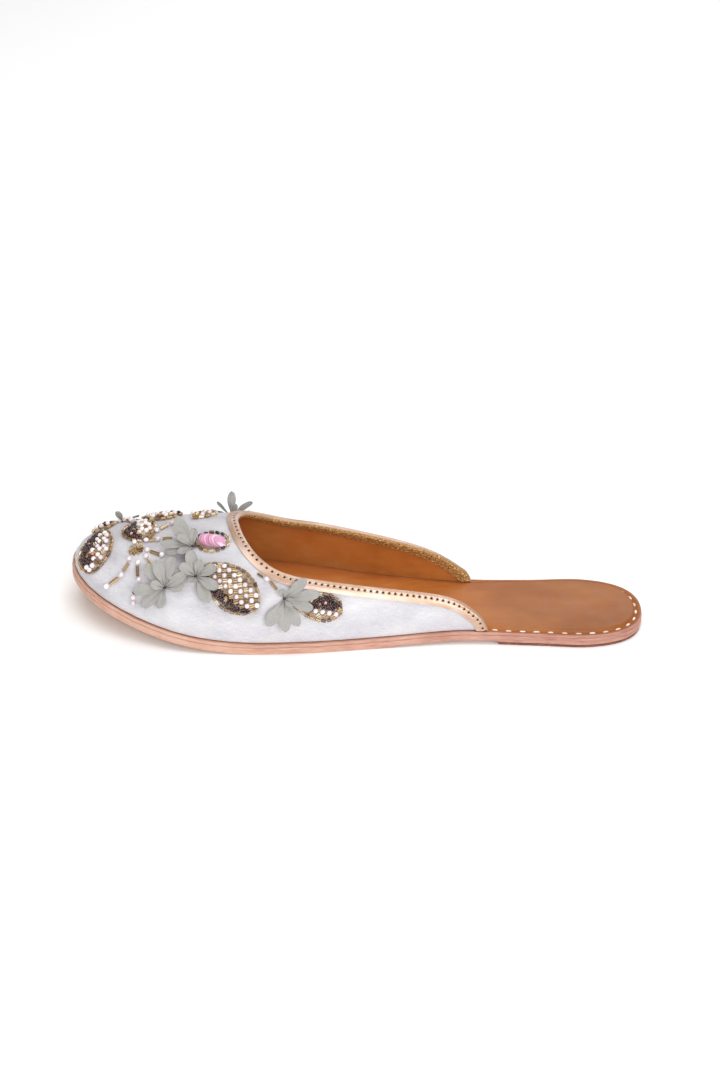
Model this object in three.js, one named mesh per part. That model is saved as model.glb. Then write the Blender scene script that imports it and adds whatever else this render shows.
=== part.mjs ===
import * as THREE from 'three';
import { mergeVertices } from 'three/addons/utils/BufferGeometryUtils.js';

// A backless mojari for the left foot, in millimetres, +Z up.
// Shoe axes while building: +X from heel to toe, +Y to the wearer's left, z = 0 on the floor.
// The finished group is moved so that its origin is the middle of its footprint on the floor.

// ---- Driving dimensions -------------------------------------------------------------------

const LENGTH = 258;
const TOE_SWING = 14;
const SWING_START = 0.2;

const OUTSOLE_THICK = 3.2;
const TOE_SPRING = 16.5;
const SPRING_START = 170;
const SHANK_FRONT = 130;
const SHANK_BACK = 75;
const HEEL_STEP = 1.5;
const WAIST_SKIVE = 0.4;
const SKIVE_FRONT = 113;
const SKIVE_EDGE = 0.8;
const LIFT_LENGTH = 66;
const LIFT_INSET = 0.4;

const FIT_GAP = 0.3;
const UPPER_WALL = 1.8;
const WELT_LEDGE = 1.2;
const INSOLE_THICK = 1.2;
const INSOLE_INSET = 0.2;

const INSTEP_HEIGHT = 45.7;
const REAR_SPINE_HEIGHT = 33.5;
const REAR_SPINE_X = 60;
const SPINE_FRONT_X = 155;
const SPINE_SHAPE = 1.5;
const SQUARENESS_BACK = 1.88;
const SQUARENESS_TOE_LEVEL = 1.2;
const SQUARENESS_TOE_RISE = 2.3;

const COLLAR_END_LEFT = 70.8;
const COLLAR_END_RIGHT = 76;
const COLLAR_EASE = 0.03;
const EASE_FADE = 0.12;
const COLLAR_TIP_SHARE = 0.992;
const BINDING_TIP_SHARE = 0.996;

const BINDING_DEPTH = 5.5;
const BINDING_LEATHER = 0.8;
const BINDING_ROUND = 0.5;

const PAD_GAP = 0.42;

const MOTIF_RELIEF = 1.6;
const PETAL_THICK = 0.9;
const PETAL_HEIGHT = 2.6;
const PETAL_RISE = 2.2;
const PETAL_NOTCH = 0.34;
const STEM_RADIUS = 1.6;
const STEM_FOOT = 0.45;

// ---- Tables ------------------------------------------------------------------------------

// Half the sole's width at each share of its length.
const SOLE_WIDTHS = [
  { along: 0, half: 0 },
  { along: 0.03, half: 18.6 },
  { along: 0.1, half: 25.2 },
  { along: 0.2, half: 24.2 },
  { along: 0.32, half: 24 },
  { along: 0.45, half: 29.6 },
  { along: 0.58, half: 36.4 },
  { along: 0.7, half: 40.6 },
  { along: 0.8, half: 40.6 },
  { along: 0.89, half: 34.4 },
  { along: 0.96, half: 23.8 },
  { along: 1, half: 0 },
];

// Climb of the collar's sides up the section, in degrees. along: 0 at the collar's rear end,
// 1 abreast of the spine's front end.
const COLLAR_LEFT = [
  { along: 0, climb: 1 },
  { along: 0.03, climb: 11.9 },
  { along: 0.07, climb: 18.3 },
  { along: 0.12, climb: 24.4 },
  { along: 0.19, climb: 29.4 },
  { along: 0.28, climb: 32.6 },
  { along: 0.43, climb: 35.2 },
  { along: 0.67, climb: 38.4 },
  { along: 0.9, climb: 42.1 },
  { along: 1, climb: 43.7 },
];
const COLLAR_RIGHT = [
  { along: 0, climb: 1 },
  { along: 0.03, climb: 10.3 },
  { along: 0.07, climb: 15.3 },
  { along: 0.15, climb: 24.2 },
  { along: 0.24, climb: 31.2 },
  { along: 0.35, climb: 36.1 },
  { along: 0.54, climb: 40.3 },
  { along: 0.77, climb: 43 },
  { along: 1, climb: 45 },
];

// Reach of the collar's front out from the spine's front end, seen from above.
// turn: 1 abreast on the left, 0 towards the toe, -1 abreast on the right.
const COLLAR_FRONT = [
  { turn: -1, reach: 25.3 },
  { turn: -0.7, reach: 28.7 },
  { turn: -0.47, reach: 31.2 },
  { turn: -0.3, reach: 31 },
  { turn: -0.13, reach: 29.1 },
  { turn: 0, reach: 27.4 },
  { turn: 0.27, reach: 25.8 },
  { turn: 0.47, reach: 25.9 },
  { turn: 0.7, reach: 25.8 },
  { turn: 1, reach: 25.2 },
];

// Beadwork leaves, from stalk to tip. around: 1 at the left collar end, 0 at the toe, -1 at the
// right collar end. climb: degrees up the section. bulge: where the leaf is widest.
const LEAVES = [
  { name: 'leaf_toe', around: [-0.078, 0.15], climb: [23, 9.8], width: 15.5, bulge: 0.6 },
  { name: 'leaf_left_large', around: [0.389, 0.581], climb: [42.4, 24.8], width: 20, bulge: 0.57 },
  { name: 'leaf_left_small', around: [0.66, 0.745], climb: [25.8, 23.4], width: 13.2, bulge: 0.6 },
  { name: 'leaf_spine', around: [0.077, -0.122], climb: [35, 32.7], width: 15, bulge: 0.6 },
  { name: 'leaf_right_upper', around: [-0.17, -0.235], climb: [32.5, 44], width: 12, bulge: 0.55 },
  { name: 'leaf_right_lower', around: [-0.34, -0.475], climb: [21.5, 19], width: 11, bulge: 0.6 },
  { name: 'leaf_right_toe', around: [-0.17, -0.08], climb: [22.5, 16], width: 9.5, bulge: 0.55 },
  { name: 'teardrop', around: [-0.095, -0.32], climb: [50.9, 52.2], width: 10, bulge: 0.62 },
];
const SEQUIN_STACK = {
  name: 'sequin_stack', around: [0.18, 0.318], climb: [49.2, 57], width: 11.5, bulge: 0.5,
};

// Fabric flowers. spread: half their span. turn: degrees, where their first petal points.
const FLOWERS = [
  { name: 'flower_1', around: 0.367, climb: 24.6, spread: 7.2, turn: 20 },
  { name: 'flower_2', around: 0.249, climb: 47.2, spread: 7.5, turn: 50 },
  { name: 'flower_3', around: 0.405, climb: 35.7, spread: 7, turn: 0 },
  { name: 'flower_4', around: 0.638, climb: 30.1, spread: 10, turn: 30 },
  { name: 'flower_5', around: -0.53, climb: 34, spread: 8.5, turn: 10 },
  { name: 'flower_6', around: -0.235, climb: 19.5, spread: 7.5, turn: 45 },
];

// ---- How fine the faceted solids are --------------------------------------------------------

const SOLE_STATIONS = 44;
const UPPER_STATIONS = 52;
const CHORD_ROOM = 0.35;
const UPPER_ROWS = 11;
const BINDING_STATIONS = 72;
const LEG_TRIALS = 24;
const EASE_TRIALS = 6;
const MOTIF_SIDES = 20;
const PETALS = 5;
const STEPS_PER_PETAL = 6;

// ---- Small mathematics ------------------------------------------------------------------------

const { clamp, degToRad, lerp, smoothstep } = THREE.MathUtils;

// A smooth curve through the table's rows. At each row its slope is that of the parabola
// through the row and its two neighbours.
function curveThrough(rows, across, up) {
  const x = rows.map((row) => row[across]);
  const y = rows.map((row) => row[up]);
  const last = x.length - 1;
  const span = (i) => x[i + 1] - x[i];
  const slope = (i) => (y[i + 1] - y[i]) / span(i);
  const between = (i) => (span(i) * slope(i - 1) + span(i - 1) * slope(i)) / (span(i - 1) + span(i));
  const tangent = x.map((_, i) => (i === 0 || i === last ? 0 : between(i)));
  tangent[0] = 2 * slope(0) - tangent[1];
  tangent[last] = 2 * slope(last - 1) - tangent[last - 1];
  return (value) => {
    const at = clamp(value, x[0], x[last]);
    const i = Math.min(x.findLastIndex((knot) => knot <= at), last - 1);
    const t = (at - x[i]) / span(i);
    const rise = t * t * (3 - 2 * t);
    const leave = t * (1 - t) * (1 - t) * span(i) * tangent[i];
    const arrive = t * t * (t - 1) * span(i) * tangent[i + 1];
    return lerp(y[i], y[i + 1], rise) + leave + arrive;
  };
}

const roundAngle = (along) => Math.acos(1 - 2 * clamp(along, 0, 1));
const shareAt = (angle) => (1 - Math.cos(angle)) / 2;
const steps = (count, from, to) => Array.from({ length: count + 1 }, (_, i) => lerp(from, to, i / count));

// ---- Sole lines -----------------------------------------------------------------------------

// The width runs over an angle that turns from 0 at the heel to half a turn at the toe,
// so that both ends of the outline come out round.
const widthRows = SOLE_WIDTHS.map((row) => ({ angle: roundAngle(row.along), half: row.half }));
const halfWidth = curveThrough(widthRows, 'angle', 'half');

function centreY(along) {
  return -TOE_SWING * Math.max((along - SWING_START) / (1 - SWING_START), 0) ** 1.5;
}

// Height of the sole's line: flat at the ball, up to the toe and up over the heel lift.
function soleLine(x) {
  const spring = TOE_SPRING * Math.max((x - SPRING_START) / (LENGTH - SPRING_START), 0) ** 2;
  return spring + HEEL_STEP * smoothstep(-x, -SHANK_FRONT, -SHANK_BACK);
}

// The outsole's underside follows that line and is cut a little thinner under the waist.
function underside(x) {
  const skive = Math.min(x - LIFT_LENGTH, SKIVE_FRONT - x) / SKIVE_EDGE;
  return soleLine(x) + WAIST_SKIVE * clamp(skive, 0, 1);
}

const outsoleTop = (x) => soleLine(x) + OUTSOLE_THICK;
const insoleTop = (x) => outsoleTop(x) + FIT_GAP + INSOLE_THICK;
const seat = (x) => insoleTop(x) + FIT_GAP;

// A point of the outline, moved inwards by inset. side: 1 left, -1 right.
function edgePoint(side, angle, inset) {
  const nudge = 0.002;
  const spot = (a) => {
    const along = shareAt(a);
    return new THREE.Vector2(along * LENGTH, centreY(along) + side * halfWidth(clamp(a, 0, Math.PI)));
  };
  const run = spot(Math.min(angle + nudge, Math.PI)).sub(spot(Math.max(angle - nudge, 0)));
  if (angle <= 0) run.set(0, side);
  if (angle >= Math.PI) run.set(0, -side);
  const inward = new THREE.Vector2(run.y, -run.x).normalize().multiplyScalar(side * inset);
  return spot(angle).add(inward);
}

// ---- The last: the upper's outer form --------------------------------------------------------

const collarEndX = (side) => (side > 0 ? COLLAR_END_LEFT : COLLAR_END_RIGHT);
const collarEndAngle = (side) => roundAngle(collarEndX(side) / LENGTH);
const sideOf = (around) => (around >= 0 ? 1 : -1);

function featherPoint(around) {
  const side = sideOf(around);
  const angle = lerp(Math.PI, collarEndAngle(side), Math.abs(around));
  return edgePoint(side, angle, WELT_LEDGE);
}

const spineFront = new THREE.Vector2(SPINE_FRONT_X, centreY(SPINE_FRONT_X / LENGTH));
const toeBearing = featherPoint(0).sub(spineFront).angle();

function spineHeight(x) {
  const back = clamp((SPINE_FRONT_X - x) / (SPINE_FRONT_X - REAR_SPINE_X), 0, 1);
  return lerp(INSTEP_HEIGHT, REAR_SPINE_HEIGHT, back ** SPINE_SHAPE);
}

// The section's line at a place around the feather line: its foot, its apex on the spine and
// the powers of its curve, level and upwards. Behind the spine's front end the sections are
// square to the axis, and in front of it they fan out from that end. Each is a quarter of a
// superellipse, and towards the toe it rises more steeply at its foot.
function sectionAt(around) {
  const foot = featherPoint(around);
  const spineX = Math.min(foot.x, SPINE_FRONT_X);
  const spine = new THREE.Vector2(spineX, centreY(spineX / LENGTH));
  const fan = clamp((foot.x - SPINE_FRONT_X) / (LENGTH - SPINE_FRONT_X), 0, 1);
  const level = 2 / lerp(SQUARENESS_BACK, SQUARENESS_TOE_LEVEL, fan);
  const rise = 2 / lerp(SQUARENESS_BACK, SQUARENESS_TOE_RISE, fan);
  return { foot, spine, level, rise };
}

// The form at a climb in radians, from 0 at the sole to a quarter turn at the spine.
function formPoint(around, climb) {
  const { foot, spine, level, rise } = sectionAt(around);
  const inward = 1 - Math.cos(climb) ** level;
  const upward = Math.sin(climb) ** rise;
  return new THREE.Vector3(
    lerp(foot.x, spine.x, inward),
    lerp(foot.y, spine.y, inward),
    lerp(seat(foot.x), spineHeight(spine.x), upward),
  );
}

const MIN_CLIMB = degToRad(0.4);
const MAX_CLIMB = degToRad(88);
const AROUND_STEP = 0.003;
const CLIMB_STEP = degToRad(0.35);

function slopesAt(around, climb) {
  const up = clamp(climb, MIN_CLIMB, MAX_CLIMB);
  const ahead = formPoint(around + AROUND_STEP, up);
  const behind = formPoint(around - AROUND_STEP, up);
  const above = formPoint(around, up + CLIMB_STEP);
  const below = formPoint(around, up - CLIMB_STEP);
  return {
    alongFeather: ahead.sub(behind).divideScalar(2 * AROUND_STEP),
    upSection: above.sub(below).divideScalar(2 * CLIMB_STEP),
  };
}

function outwardAt(around, climb) {
  const { alongFeather, upSection } = slopesAt(around, climb);
  return alongFeather.cross(upSection).normalize();
}

// The form moved out by a distance, or in where it is below zero. At the feather line it moves
// level, so that the lower edge stays on its seat.
function offsetPoint(around, climb, out) {
  const normal = outwardAt(around, climb);
  if (climb <= MIN_CLIMB) normal.setZ(0).normalize();
  return formPoint(around, climb).addScaledVector(normal, out);
}

// The place on the form nearest to a point, by repeated least squares from a first guess.
function nearestPlace(target, guess) {
  let { around, climb } = guess;
  for (let round = 0; round < 8; round += 1) {
    const { alongFeather: a, upSection: b } = slopesAt(around, climb);
    const miss = target.clone().sub(formPoint(around, climb));
    const aa = a.dot(a);
    const ab = a.dot(b);
    const bb = b.dot(b);
    const det = aa * bb - ab * ab;
    around += (bb * a.dot(miss) - ab * b.dot(miss)) / det;
    climb += (aa * b.dot(miss) - ab * a.dot(miss)) / det;
    climb = clamp(climb, MIN_CLIMB, MAX_CLIMB);
  }
  return { around, climb };
}

// ---- The collar's line ---------------------------------------------------------------------

const leftClimb = curveThrough(COLLAR_LEFT, 'along', 'climb');
const rightClimb = curveThrough(COLLAR_RIGHT, 'along', 'climb');
const frontReach = curveThrough(COLLAR_FRONT, 'turn', 'reach');

// An angle brought between minus and plus half a turn.
const wrap = (angle) => Math.atan2(Math.sin(angle), Math.cos(angle));

function tabledClimb(around) {
  const side = sideOf(around);
  const { foot, spine, level } = sectionAt(around);
  if (foot.x < SPINE_FRONT_X) {
    const along = (foot.x - collarEndX(side)) / (SPINE_FRONT_X - collarEndX(side));
    return degToRad(side > 0 ? leftClimb(along) : rightClimb(along));
  }
  const bearing = wrap(foot.clone().sub(spine).angle() - toeBearing);
  const abreast = Math.abs(wrap((side * Math.PI) / 2 - toeBearing));
  const reach = frontReach(bearing / abreast);
  return Math.acos((reach / foot.distanceTo(spine)) ** (1 / level));
}

// The tables meet abreast of the instep, so their climbs are averaged over a short stretch, which
// shrinks to nothing at the collar's rear ends.
function collarClimb(around) {
  const ease = COLLAR_EASE * clamp((1 - Math.abs(around)) / EASE_FADE, 0, 1);
  const near = steps(EASE_TRIALS, -ease, ease).map((shift) => tabledClimb(around + shift));
  return near.reduce((sum, climb) => sum + climb) / near.length;
}

// The collar's own frame: its point, and the direction down the upper at right angles to it.
function collarFrame(around) {
  const climb = collarClimb(around);
  const here = formPoint(around, climb);
  const next = formPoint(around - AROUND_STEP, collarClimb(around - AROUND_STEP));
  const run = next.sub(here).normalize();
  const down = outwardAt(around, climb).cross(run).normalize();
  if (down.dot(slopesAt(around, climb).upSection) > 0) down.negate();
  return { around, climb, here, down };
}

// How far the upper reaches down from the collar at right angles to it, up to a limit.
function depthBelow(frame, limit) {
  const place = nearestPlace(frame.here.clone().addScaledVector(frame.down, limit), frame);
  return Math.min(limit, frame.here.distanceTo(formPoint(place.around, place.climb)));
}

function pointBelow(frame, depth, out) {
  if (depth === 0) return offsetPoint(frame.around, frame.climb, out);
  const place = nearestPlace(frame.here.clone().addScaledVector(frame.down, depth), frame);
  return offsetPoint(place.around, place.climb, out);
}

// ---- Meshes -----------------------------------------------------------------------------------

function closedGeometry(points, triangles) {
  const geometry = new THREE.BufferGeometry();
  geometry.setAttribute('position', new THREE.Float32BufferAttribute(points.flatMap((p) => p.toArray()), 3));
  geometry.setIndex(triangles.flat());
  const merged = mergeVertices(geometry, 1e-3);
  const index = merged.getIndex().array;
  const kept = [];
  for (let i = 0; i < index.length; i += 3) {
    const [a, b, c] = index.slice(i, i + 3);
    if (a !== b && b !== c && c !== a) kept.push(a, b, c);
  }
  merged.setIndex(kept);
  merged.computeVertexNormals();
  return merged;
}

// Joins equal rings of points into one closed skin. Each ring runs along one face and back along
// the other, so an end is closed by ladder steps between its two halves.
function loft(rings) {
  const size = rings[0].length;
  const triangles = [];
  const quad = (a, b, c, d) => triangles.push([a, b, c], [a, c, d]);
  for (let r = 0; r + 1 < rings.length; r += 1) {
    for (let i = 0; i < size; i += 1) {
      const j = (i + 1) % size;
      quad(r * size + i, r * size + j, (r + 1) * size + j, (r + 1) * size + i);
    }
  }
  const end = (rings.length - 1) * size;
  for (let i = 0; i + 1 < size / 2; i += 1) {
    const far = size - 1 - i;
    quad(i, far, far - 1, i + 1);
    quad(end + i, end + i + 1, end + far - 1, end + far);
  }
  return closedGeometry(rings.flat(), triangles);
}

// A plate between two heights, inside the sole's outline from one angle to another.
function solePlate(angles, inset, bottom, top) {
  const rings = angles.map((angle) => {
    const left = edgePoint(1, angle, inset);
    const right = edgePoint(-1, angle, inset);
    const at = (spot, height) => new THREE.Vector3(spot.x, spot.y, height(spot.x));
    return [at(left, top), at(right, top), at(right, bottom), at(left, bottom)];
  });
  return loft(rings);
}

// A pad on the form: rings of one outline shrink to its middle along the face next to the
// upper, and again along the domed outer face.
function pad(outline, placeOf, relief) {
  const shares = [0.35, 0.68, 1];
  const dome = (share) => PAD_GAP + relief * (1 - 0.55 * share ** 2);
  const under = shares.map((share) => ({ share, out: PAD_GAP }));
  const over = shares.map((share) => ({ share, out: dome(share) })).reverse();
  const at = (spot, out) => {
    const place = placeOf(spot);
    return offsetPoint(place.around, place.climb, out);
  };
  const rings = [...under, ...over];
  const points = rings.flatMap(({ share, out }) => (
    outline.map((spot) => at(spot.clone().multiplyScalar(share), out))
  ));
  const middle = new THREE.Vector2();
  points.push(at(middle, PAD_GAP), at(middle, dome(0)));
  return skinOfRings(points, rings.length, outline.length);
}

// Closes a stack of rings with a point at each end.
function skinOfRings(points, ringCount, sides) {
  const triangles = [];
  const first = ringCount * sides;
  const last = first + 1;
  for (let i = 0; i < sides; i += 1) {
    const j = (i + 1) % sides;
    triangles.push([first, j, i]);
    for (let r = 0; r + 1 < ringCount; r += 1) {
      const low = r * sides;
      const high = low + sides;
      triangles.push([low + i, low + j, high + j], [low + i, high + j, high + i]);
    }
    const end = (ringCount - 1) * sides;
    triangles.push([end + i, end + j, last]);
  }
  return closedGeometry(points, triangles);
}

// ---- Pieces -----------------------------------------------------------------------------------

function outsole() {
  const steep = [0, SKIVE_EDGE].flatMap((edge) => [LIFT_LENGTH + edge, SKIVE_FRONT - edge]);
  const angles = [...steps(SOLE_STATIONS, 0, Math.PI), ...steep.map((x) => roundAngle(x / LENGTH))];
  return solePlate(angles.sort((a, b) => a - b), 0, underside, outsoleTop);
}

function heelLift() {
  const angles = steps(SOLE_STATIONS / 3, 0, roundAngle(LIFT_LENGTH / LENGTH));
  return solePlate(angles, LIFT_INSET, () => 0, () => HEEL_STEP - FIT_GAP);
}

function insole() {
  const angles = steps(SOLE_STATIONS, 0, Math.PI);
  return solePlate(angles, INSOLE_INSET, (x) => outsoleTop(x) + FIT_GAP, insoleTop);
}

function upper() {
  const rings = steps(UPPER_STATIONS, COLLAR_TIP_SHARE, -COLLAR_TIP_SHARE).map((around) => {
    const frame = collarFrame(around);
    const cover = Math.min(BINDING_LEATHER + FIT_GAP + CHORD_ROOM, 0.45 * depthBelow(frame, BINDING_DEPTH));
    const rise = cover / Math.abs(slopesAt(around, frame.climb).upSection.dot(frame.down));
    const climbs = steps(UPPER_ROWS, MIN_CLIMB, frame.climb - rise);
    const outside = climbs.map((climb) => offsetPoint(around, climb, 0));
    const inside = climbs.map((climb) => offsetPoint(around, climb, -UPPER_WALL));
    return [...outside, ...inside.reverse()];
  });
  return loft(rings);
}

// The longest leg inside the shoe, up to a limit, that ends clear above the insole.
function insideLeg(frame, limit, out) {
  const clearance = (depth) => {
    const foot = pointBelow(frame, depth, out);
    return foot.z - seat(foot.x);
  };
  const fitting = steps(LEG_TRIALS, limit, 0).find((depth) => clearance(depth) > 0);
  return Math.max(fitting, 0.35 * limit);
}

// A strip of leather folded over the collar: a leg outside, a rounded top and a leg inside.
function collarBinding() {
  const outer = FIT_GAP + BINDING_LEATHER;
  const lining = -UPPER_WALL - FIT_GAP;
  const inner = lining - BINDING_LEATHER;
  const rings = steps(BINDING_STATIONS, 1, -1).map((share) => {
    const frame = collarFrame(share * BINDING_TIP_SHARE);
    const leg = 0.92 * depthBelow(frame, BINDING_DEPTH);
    const inLeg = insideLeg(frame, leg, inner);
    const fold = Math.min(BINDING_LEATHER, 0.3 * leg, 0.6 * inLeg);
    const round = Math.min(BINDING_ROUND, 0.2 * leg);
    const outFace = [[leg, outer], [leg / 2, outer], [round, outer], [0, outer - BINDING_ROUND]];
    const inFace = [[0, inner + BINDING_ROUND], [round, inner], [inLeg / 2, inner], [inLeg, inner]];
    const inBack = [[inLeg, lining], [(inLeg + fold) / 2, lining], [fold, lining], [fold, lining / 2]];
    const outBack = [[fold, lining / 4], [fold, FIT_GAP], [leg / 2, FIT_GAP], [leg, FIT_GAP]];
    const loop = [...outFace, ...inFace, ...inBack, ...outBack];
    return loop.map(([depth, out]) => pointBelow(frame, depth, out));
  });
  return loft(rings);
}

// Half the width of a leaf at a share of its length, full at its bulge, narrow at its stalk and
// round at its tip.
function leafHalf(share, width, bulge) {
  const byStalk = share < bulge;
  const across = byStalk ? share / bulge : (1 - share) / (1 - bulge);
  return (width / 2) * Math.sin((clamp(across, 0, 1) * Math.PI) / 2) ** (byStalk ? 0.7 : 0.5);
}

function leafPad({ around, climb, width, bulge }, relief) {
  const [stalk, tip] = [0, 1].map((i) => formPoint(around[i], degToRad(climb[i])));
  const middle = {
    around: (around[0] + around[1]) / 2,
    climb: degToRad((climb[0] + climb[1]) / 2),
  };
  const centre = stalk.clone().add(tip).multiplyScalar(0.5);
  const axis = tip.clone().sub(stalk);
  const length = axis.length();
  axis.normalize();
  const across = outwardAt(middle.around, middle.climb).cross(axis).normalize();
  const place = (spot) => {
    const target = centre.clone().addScaledVector(axis, spot.x).addScaledVector(across, spot.y);
    return nearestPlace(target, middle);
  };
  const outline = steps(MOTIF_SIDES, 0, 2 * Math.PI).slice(0, -1).map((turn) => {
    const share = (1 - Math.cos(turn)) / 2;
    const half = Math.max(leafHalf(share, width, bulge), 0.4 * Math.abs(Math.sin(turn)));
    return new THREE.Vector2((share - 0.5) * length, -Math.sign(Math.sin(turn)) * half);
  });
  outline[0].y = 0;
  outline[MOTIF_SIDES / 2].y = 0;
  return pad(outline, place, relief);
}

// Five petals that rise outwards from a short stem, in a frame whose z leaves the upper.
// reach: 0 on the stem, 1 at the petals' rim. height: the layer's own height at the stem.
function flower(spread) {
  const layers = [
    { reach: 0, height: STEM_FOOT },
    { reach: 0, height: PETAL_HEIGHT - PETAL_THICK / 4 },
    { reach: 0.5, height: PETAL_HEIGHT },
    { reach: 1, height: PETAL_HEIGHT },
    { reach: 1, height: PETAL_HEIGHT + PETAL_THICK },
    { reach: 0.5, height: PETAL_HEIGHT + PETAL_THICK },
  ];
  const sides = PETALS * STEPS_PER_PETAL;
  const points = layers.flatMap(({ reach, height }) => Array.from({ length: sides }, (_, i) => {
    const lobe = Math.abs(Math.sin((i * Math.PI) / STEPS_PER_PETAL)) ** 0.6;
    const radius = lerp(STEM_RADIUS, lerp(PETAL_NOTCH, 1, lobe) * spread, reach);
    const rise = PETAL_RISE * ((radius - STEM_RADIUS) / spread);
    return new THREE.Vector3(radius, 0, height + rise)
      .applyAxisAngle(new THREE.Vector3(0, 0, 1), (2 * Math.PI * i) / sides);
  }));
  points.push(new THREE.Vector3(0, 0, STEM_FOOT));
  points.push(new THREE.Vector3(0, 0, PETAL_HEIGHT + PETAL_THICK));
  return skinOfRings(points, layers.length, sides);
}

// ---- Materials and assembly --------------------------------------------------------------------

const leatherTan = { color: 0xb07a50, roughness: 0.5, metalness: 0 };
const leatherPink = { color: 0xd29a86, roughness: 0.65, metalness: 0 };
const satin = { color: 0xd9d9de, roughness: 0.4, metalness: 0 };
const goldLeather = { color: 0xd8b07a, roughness: 0.35, metalness: 0.4 };
const beads = { color: 0x8a6c4a, roughness: 0.35, metalness: 0.3 };
const sequins = { color: 0xe3a0bd, roughness: 0.25, metalness: 0 };
const petalCloth = { color: 0xbcc3bd, roughness: 0.8, metalness: 0 };

function piece(name, geometry, finish) {
  const mesh = new THREE.Mesh(geometry, new THREE.MeshStandardMaterial(finish));
  mesh.name = name;
  return mesh;
}

function flowerPiece({ name, around, climb, spread, turn }) {
  const mesh = piece(name, flower(spread), petalCloth);
  const outward = outwardAt(around, degToRad(climb));
  mesh.position.copy(formPoint(around, degToRad(climb)));
  mesh.quaternion.setFromUnitVectors(new THREE.Vector3(0, 0, 1), outward);
  mesh.rotateZ(degToRad(turn));
  return mesh;
}

const shoe = new THREE.Group();
shoe.add(piece('outsole', outsole(), leatherPink));
shoe.add(piece('heel_lift', heelLift(), leatherPink));
shoe.add(piece('insole', insole(), leatherTan));
shoe.add(piece('upper', upper(), satin));
shoe.add(piece('collar_binding', collarBinding(), goldLeather));
for (const leaf of LEAVES) shoe.add(piece(leaf.name, leafPad(leaf, MOTIF_RELIEF), beads));
shoe.add(piece(SEQUIN_STACK.name, leafPad(SEQUIN_STACK, MOTIF_RELIEF), sequins));
for (const row of FLOWERS) shoe.add(flowerPiece(row));

shoe.updateMatrixWorld(true);
const footprint = new THREE.Box3().setFromObject(shoe, true);
const middle = footprint.getCenter(new THREE.Vector3());
shoe.position.set(-middle.x, -middle.y, -footprint.min.z);

export default shoe;
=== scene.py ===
"""The looks of a backless left mojari: satin upper, beadwork, gold collar binding, leather sole.

Shapes are worked out in the shoe's own axes, in millimetres: x from the back of the heel to the
toe, y to the wearer's left, z up from the floor. Skin.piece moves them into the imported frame.
"""

import logging
from collections.abc import Callable, Sequence
from dataclasses import dataclass
from enum import Enum
from typing import ClassVar

import bmesh
import bpy
import numpy as np
from mathutils import Matrix, Vector


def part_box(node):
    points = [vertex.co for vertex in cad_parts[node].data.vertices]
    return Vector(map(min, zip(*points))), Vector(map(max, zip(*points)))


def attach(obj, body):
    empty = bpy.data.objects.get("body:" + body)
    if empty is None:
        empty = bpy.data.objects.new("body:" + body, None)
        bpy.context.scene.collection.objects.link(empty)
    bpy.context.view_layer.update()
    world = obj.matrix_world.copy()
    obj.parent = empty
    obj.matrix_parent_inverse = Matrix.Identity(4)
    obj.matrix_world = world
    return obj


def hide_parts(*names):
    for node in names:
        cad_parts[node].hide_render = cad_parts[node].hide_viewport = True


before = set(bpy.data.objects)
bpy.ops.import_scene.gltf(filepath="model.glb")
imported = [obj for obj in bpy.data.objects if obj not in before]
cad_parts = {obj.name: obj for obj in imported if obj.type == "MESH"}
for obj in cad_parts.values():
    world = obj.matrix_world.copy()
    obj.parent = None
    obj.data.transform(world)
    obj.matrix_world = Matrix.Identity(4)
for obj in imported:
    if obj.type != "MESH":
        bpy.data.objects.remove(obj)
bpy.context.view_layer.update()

Array = np.ndarray
Height, Relief = Callable[[Array], Array], Callable[[Array, Array], Array]
Tree, Node, Socket = bpy.types.NodeTree, bpy.types.Node, bpy.types.NodeSocket

MM = 0.001
BODY = "root"

log = logging.getLogger("mojari")


# ---- Small mathematics ------------


def unit(vectors: Array) -> Array:
    """Each vector divided by its own length."""
    return vectors / np.maximum(np.linalg.norm(vectors, axis=-1, keepdims=True), 1e-9)


def smooth(low: float, high: float, value: Array) -> Array:
    """A rise from 0 at low to 1 at high, level at both ends: 3t^2 - 2t^3."""
    t = np.clip((value - low) / (high - low), 0, 1)
    return t * t * (3 - 2 * t)


def together(*parts: Array) -> Array:
    """Values that belong to the same places, spread to one shape, as a last axis."""
    return np.stack(np.broadcast_arrays(*parts), -1)


def at_distance(path: Array, travel: Array, marks: Array) -> Array:
    """Points of a path at some distances along it, straight between its own points."""
    return together(*[np.interp(marks, travel, column) for column in path.T])


def running_length(points: Array) -> Array:
    """Distance travelled along rows of points, from 0 at the first."""
    steps = np.linalg.norm(np.diff(points, axis=0), axis=-1)
    return np.concatenate([np.zeros((1,) + steps.shape[1:]), np.cumsum(steps, axis=0)])


def distance_to_path(points: Array, path: Array) -> Array:
    """Distance from each point to the nearest stretch of a path of straight stretches.

    Each point is dropped square onto every stretch, held between its two ends, and the
    shortest drop counts.

    Args:
        points: Any array of points, shape (..., 3).
        path: The path's corners, shape (k, 3).

    Returns:
        One distance for each point.
    """
    start, run = path[:-1], np.diff(path, axis=0)
    away = points[..., None, :] - start
    share = np.clip((away * run).sum(-1) / (run * run).sum(-1), 0, 1)
    return np.linalg.norm(away - share[..., None] * run, axis=-1).min(-1)


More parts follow.
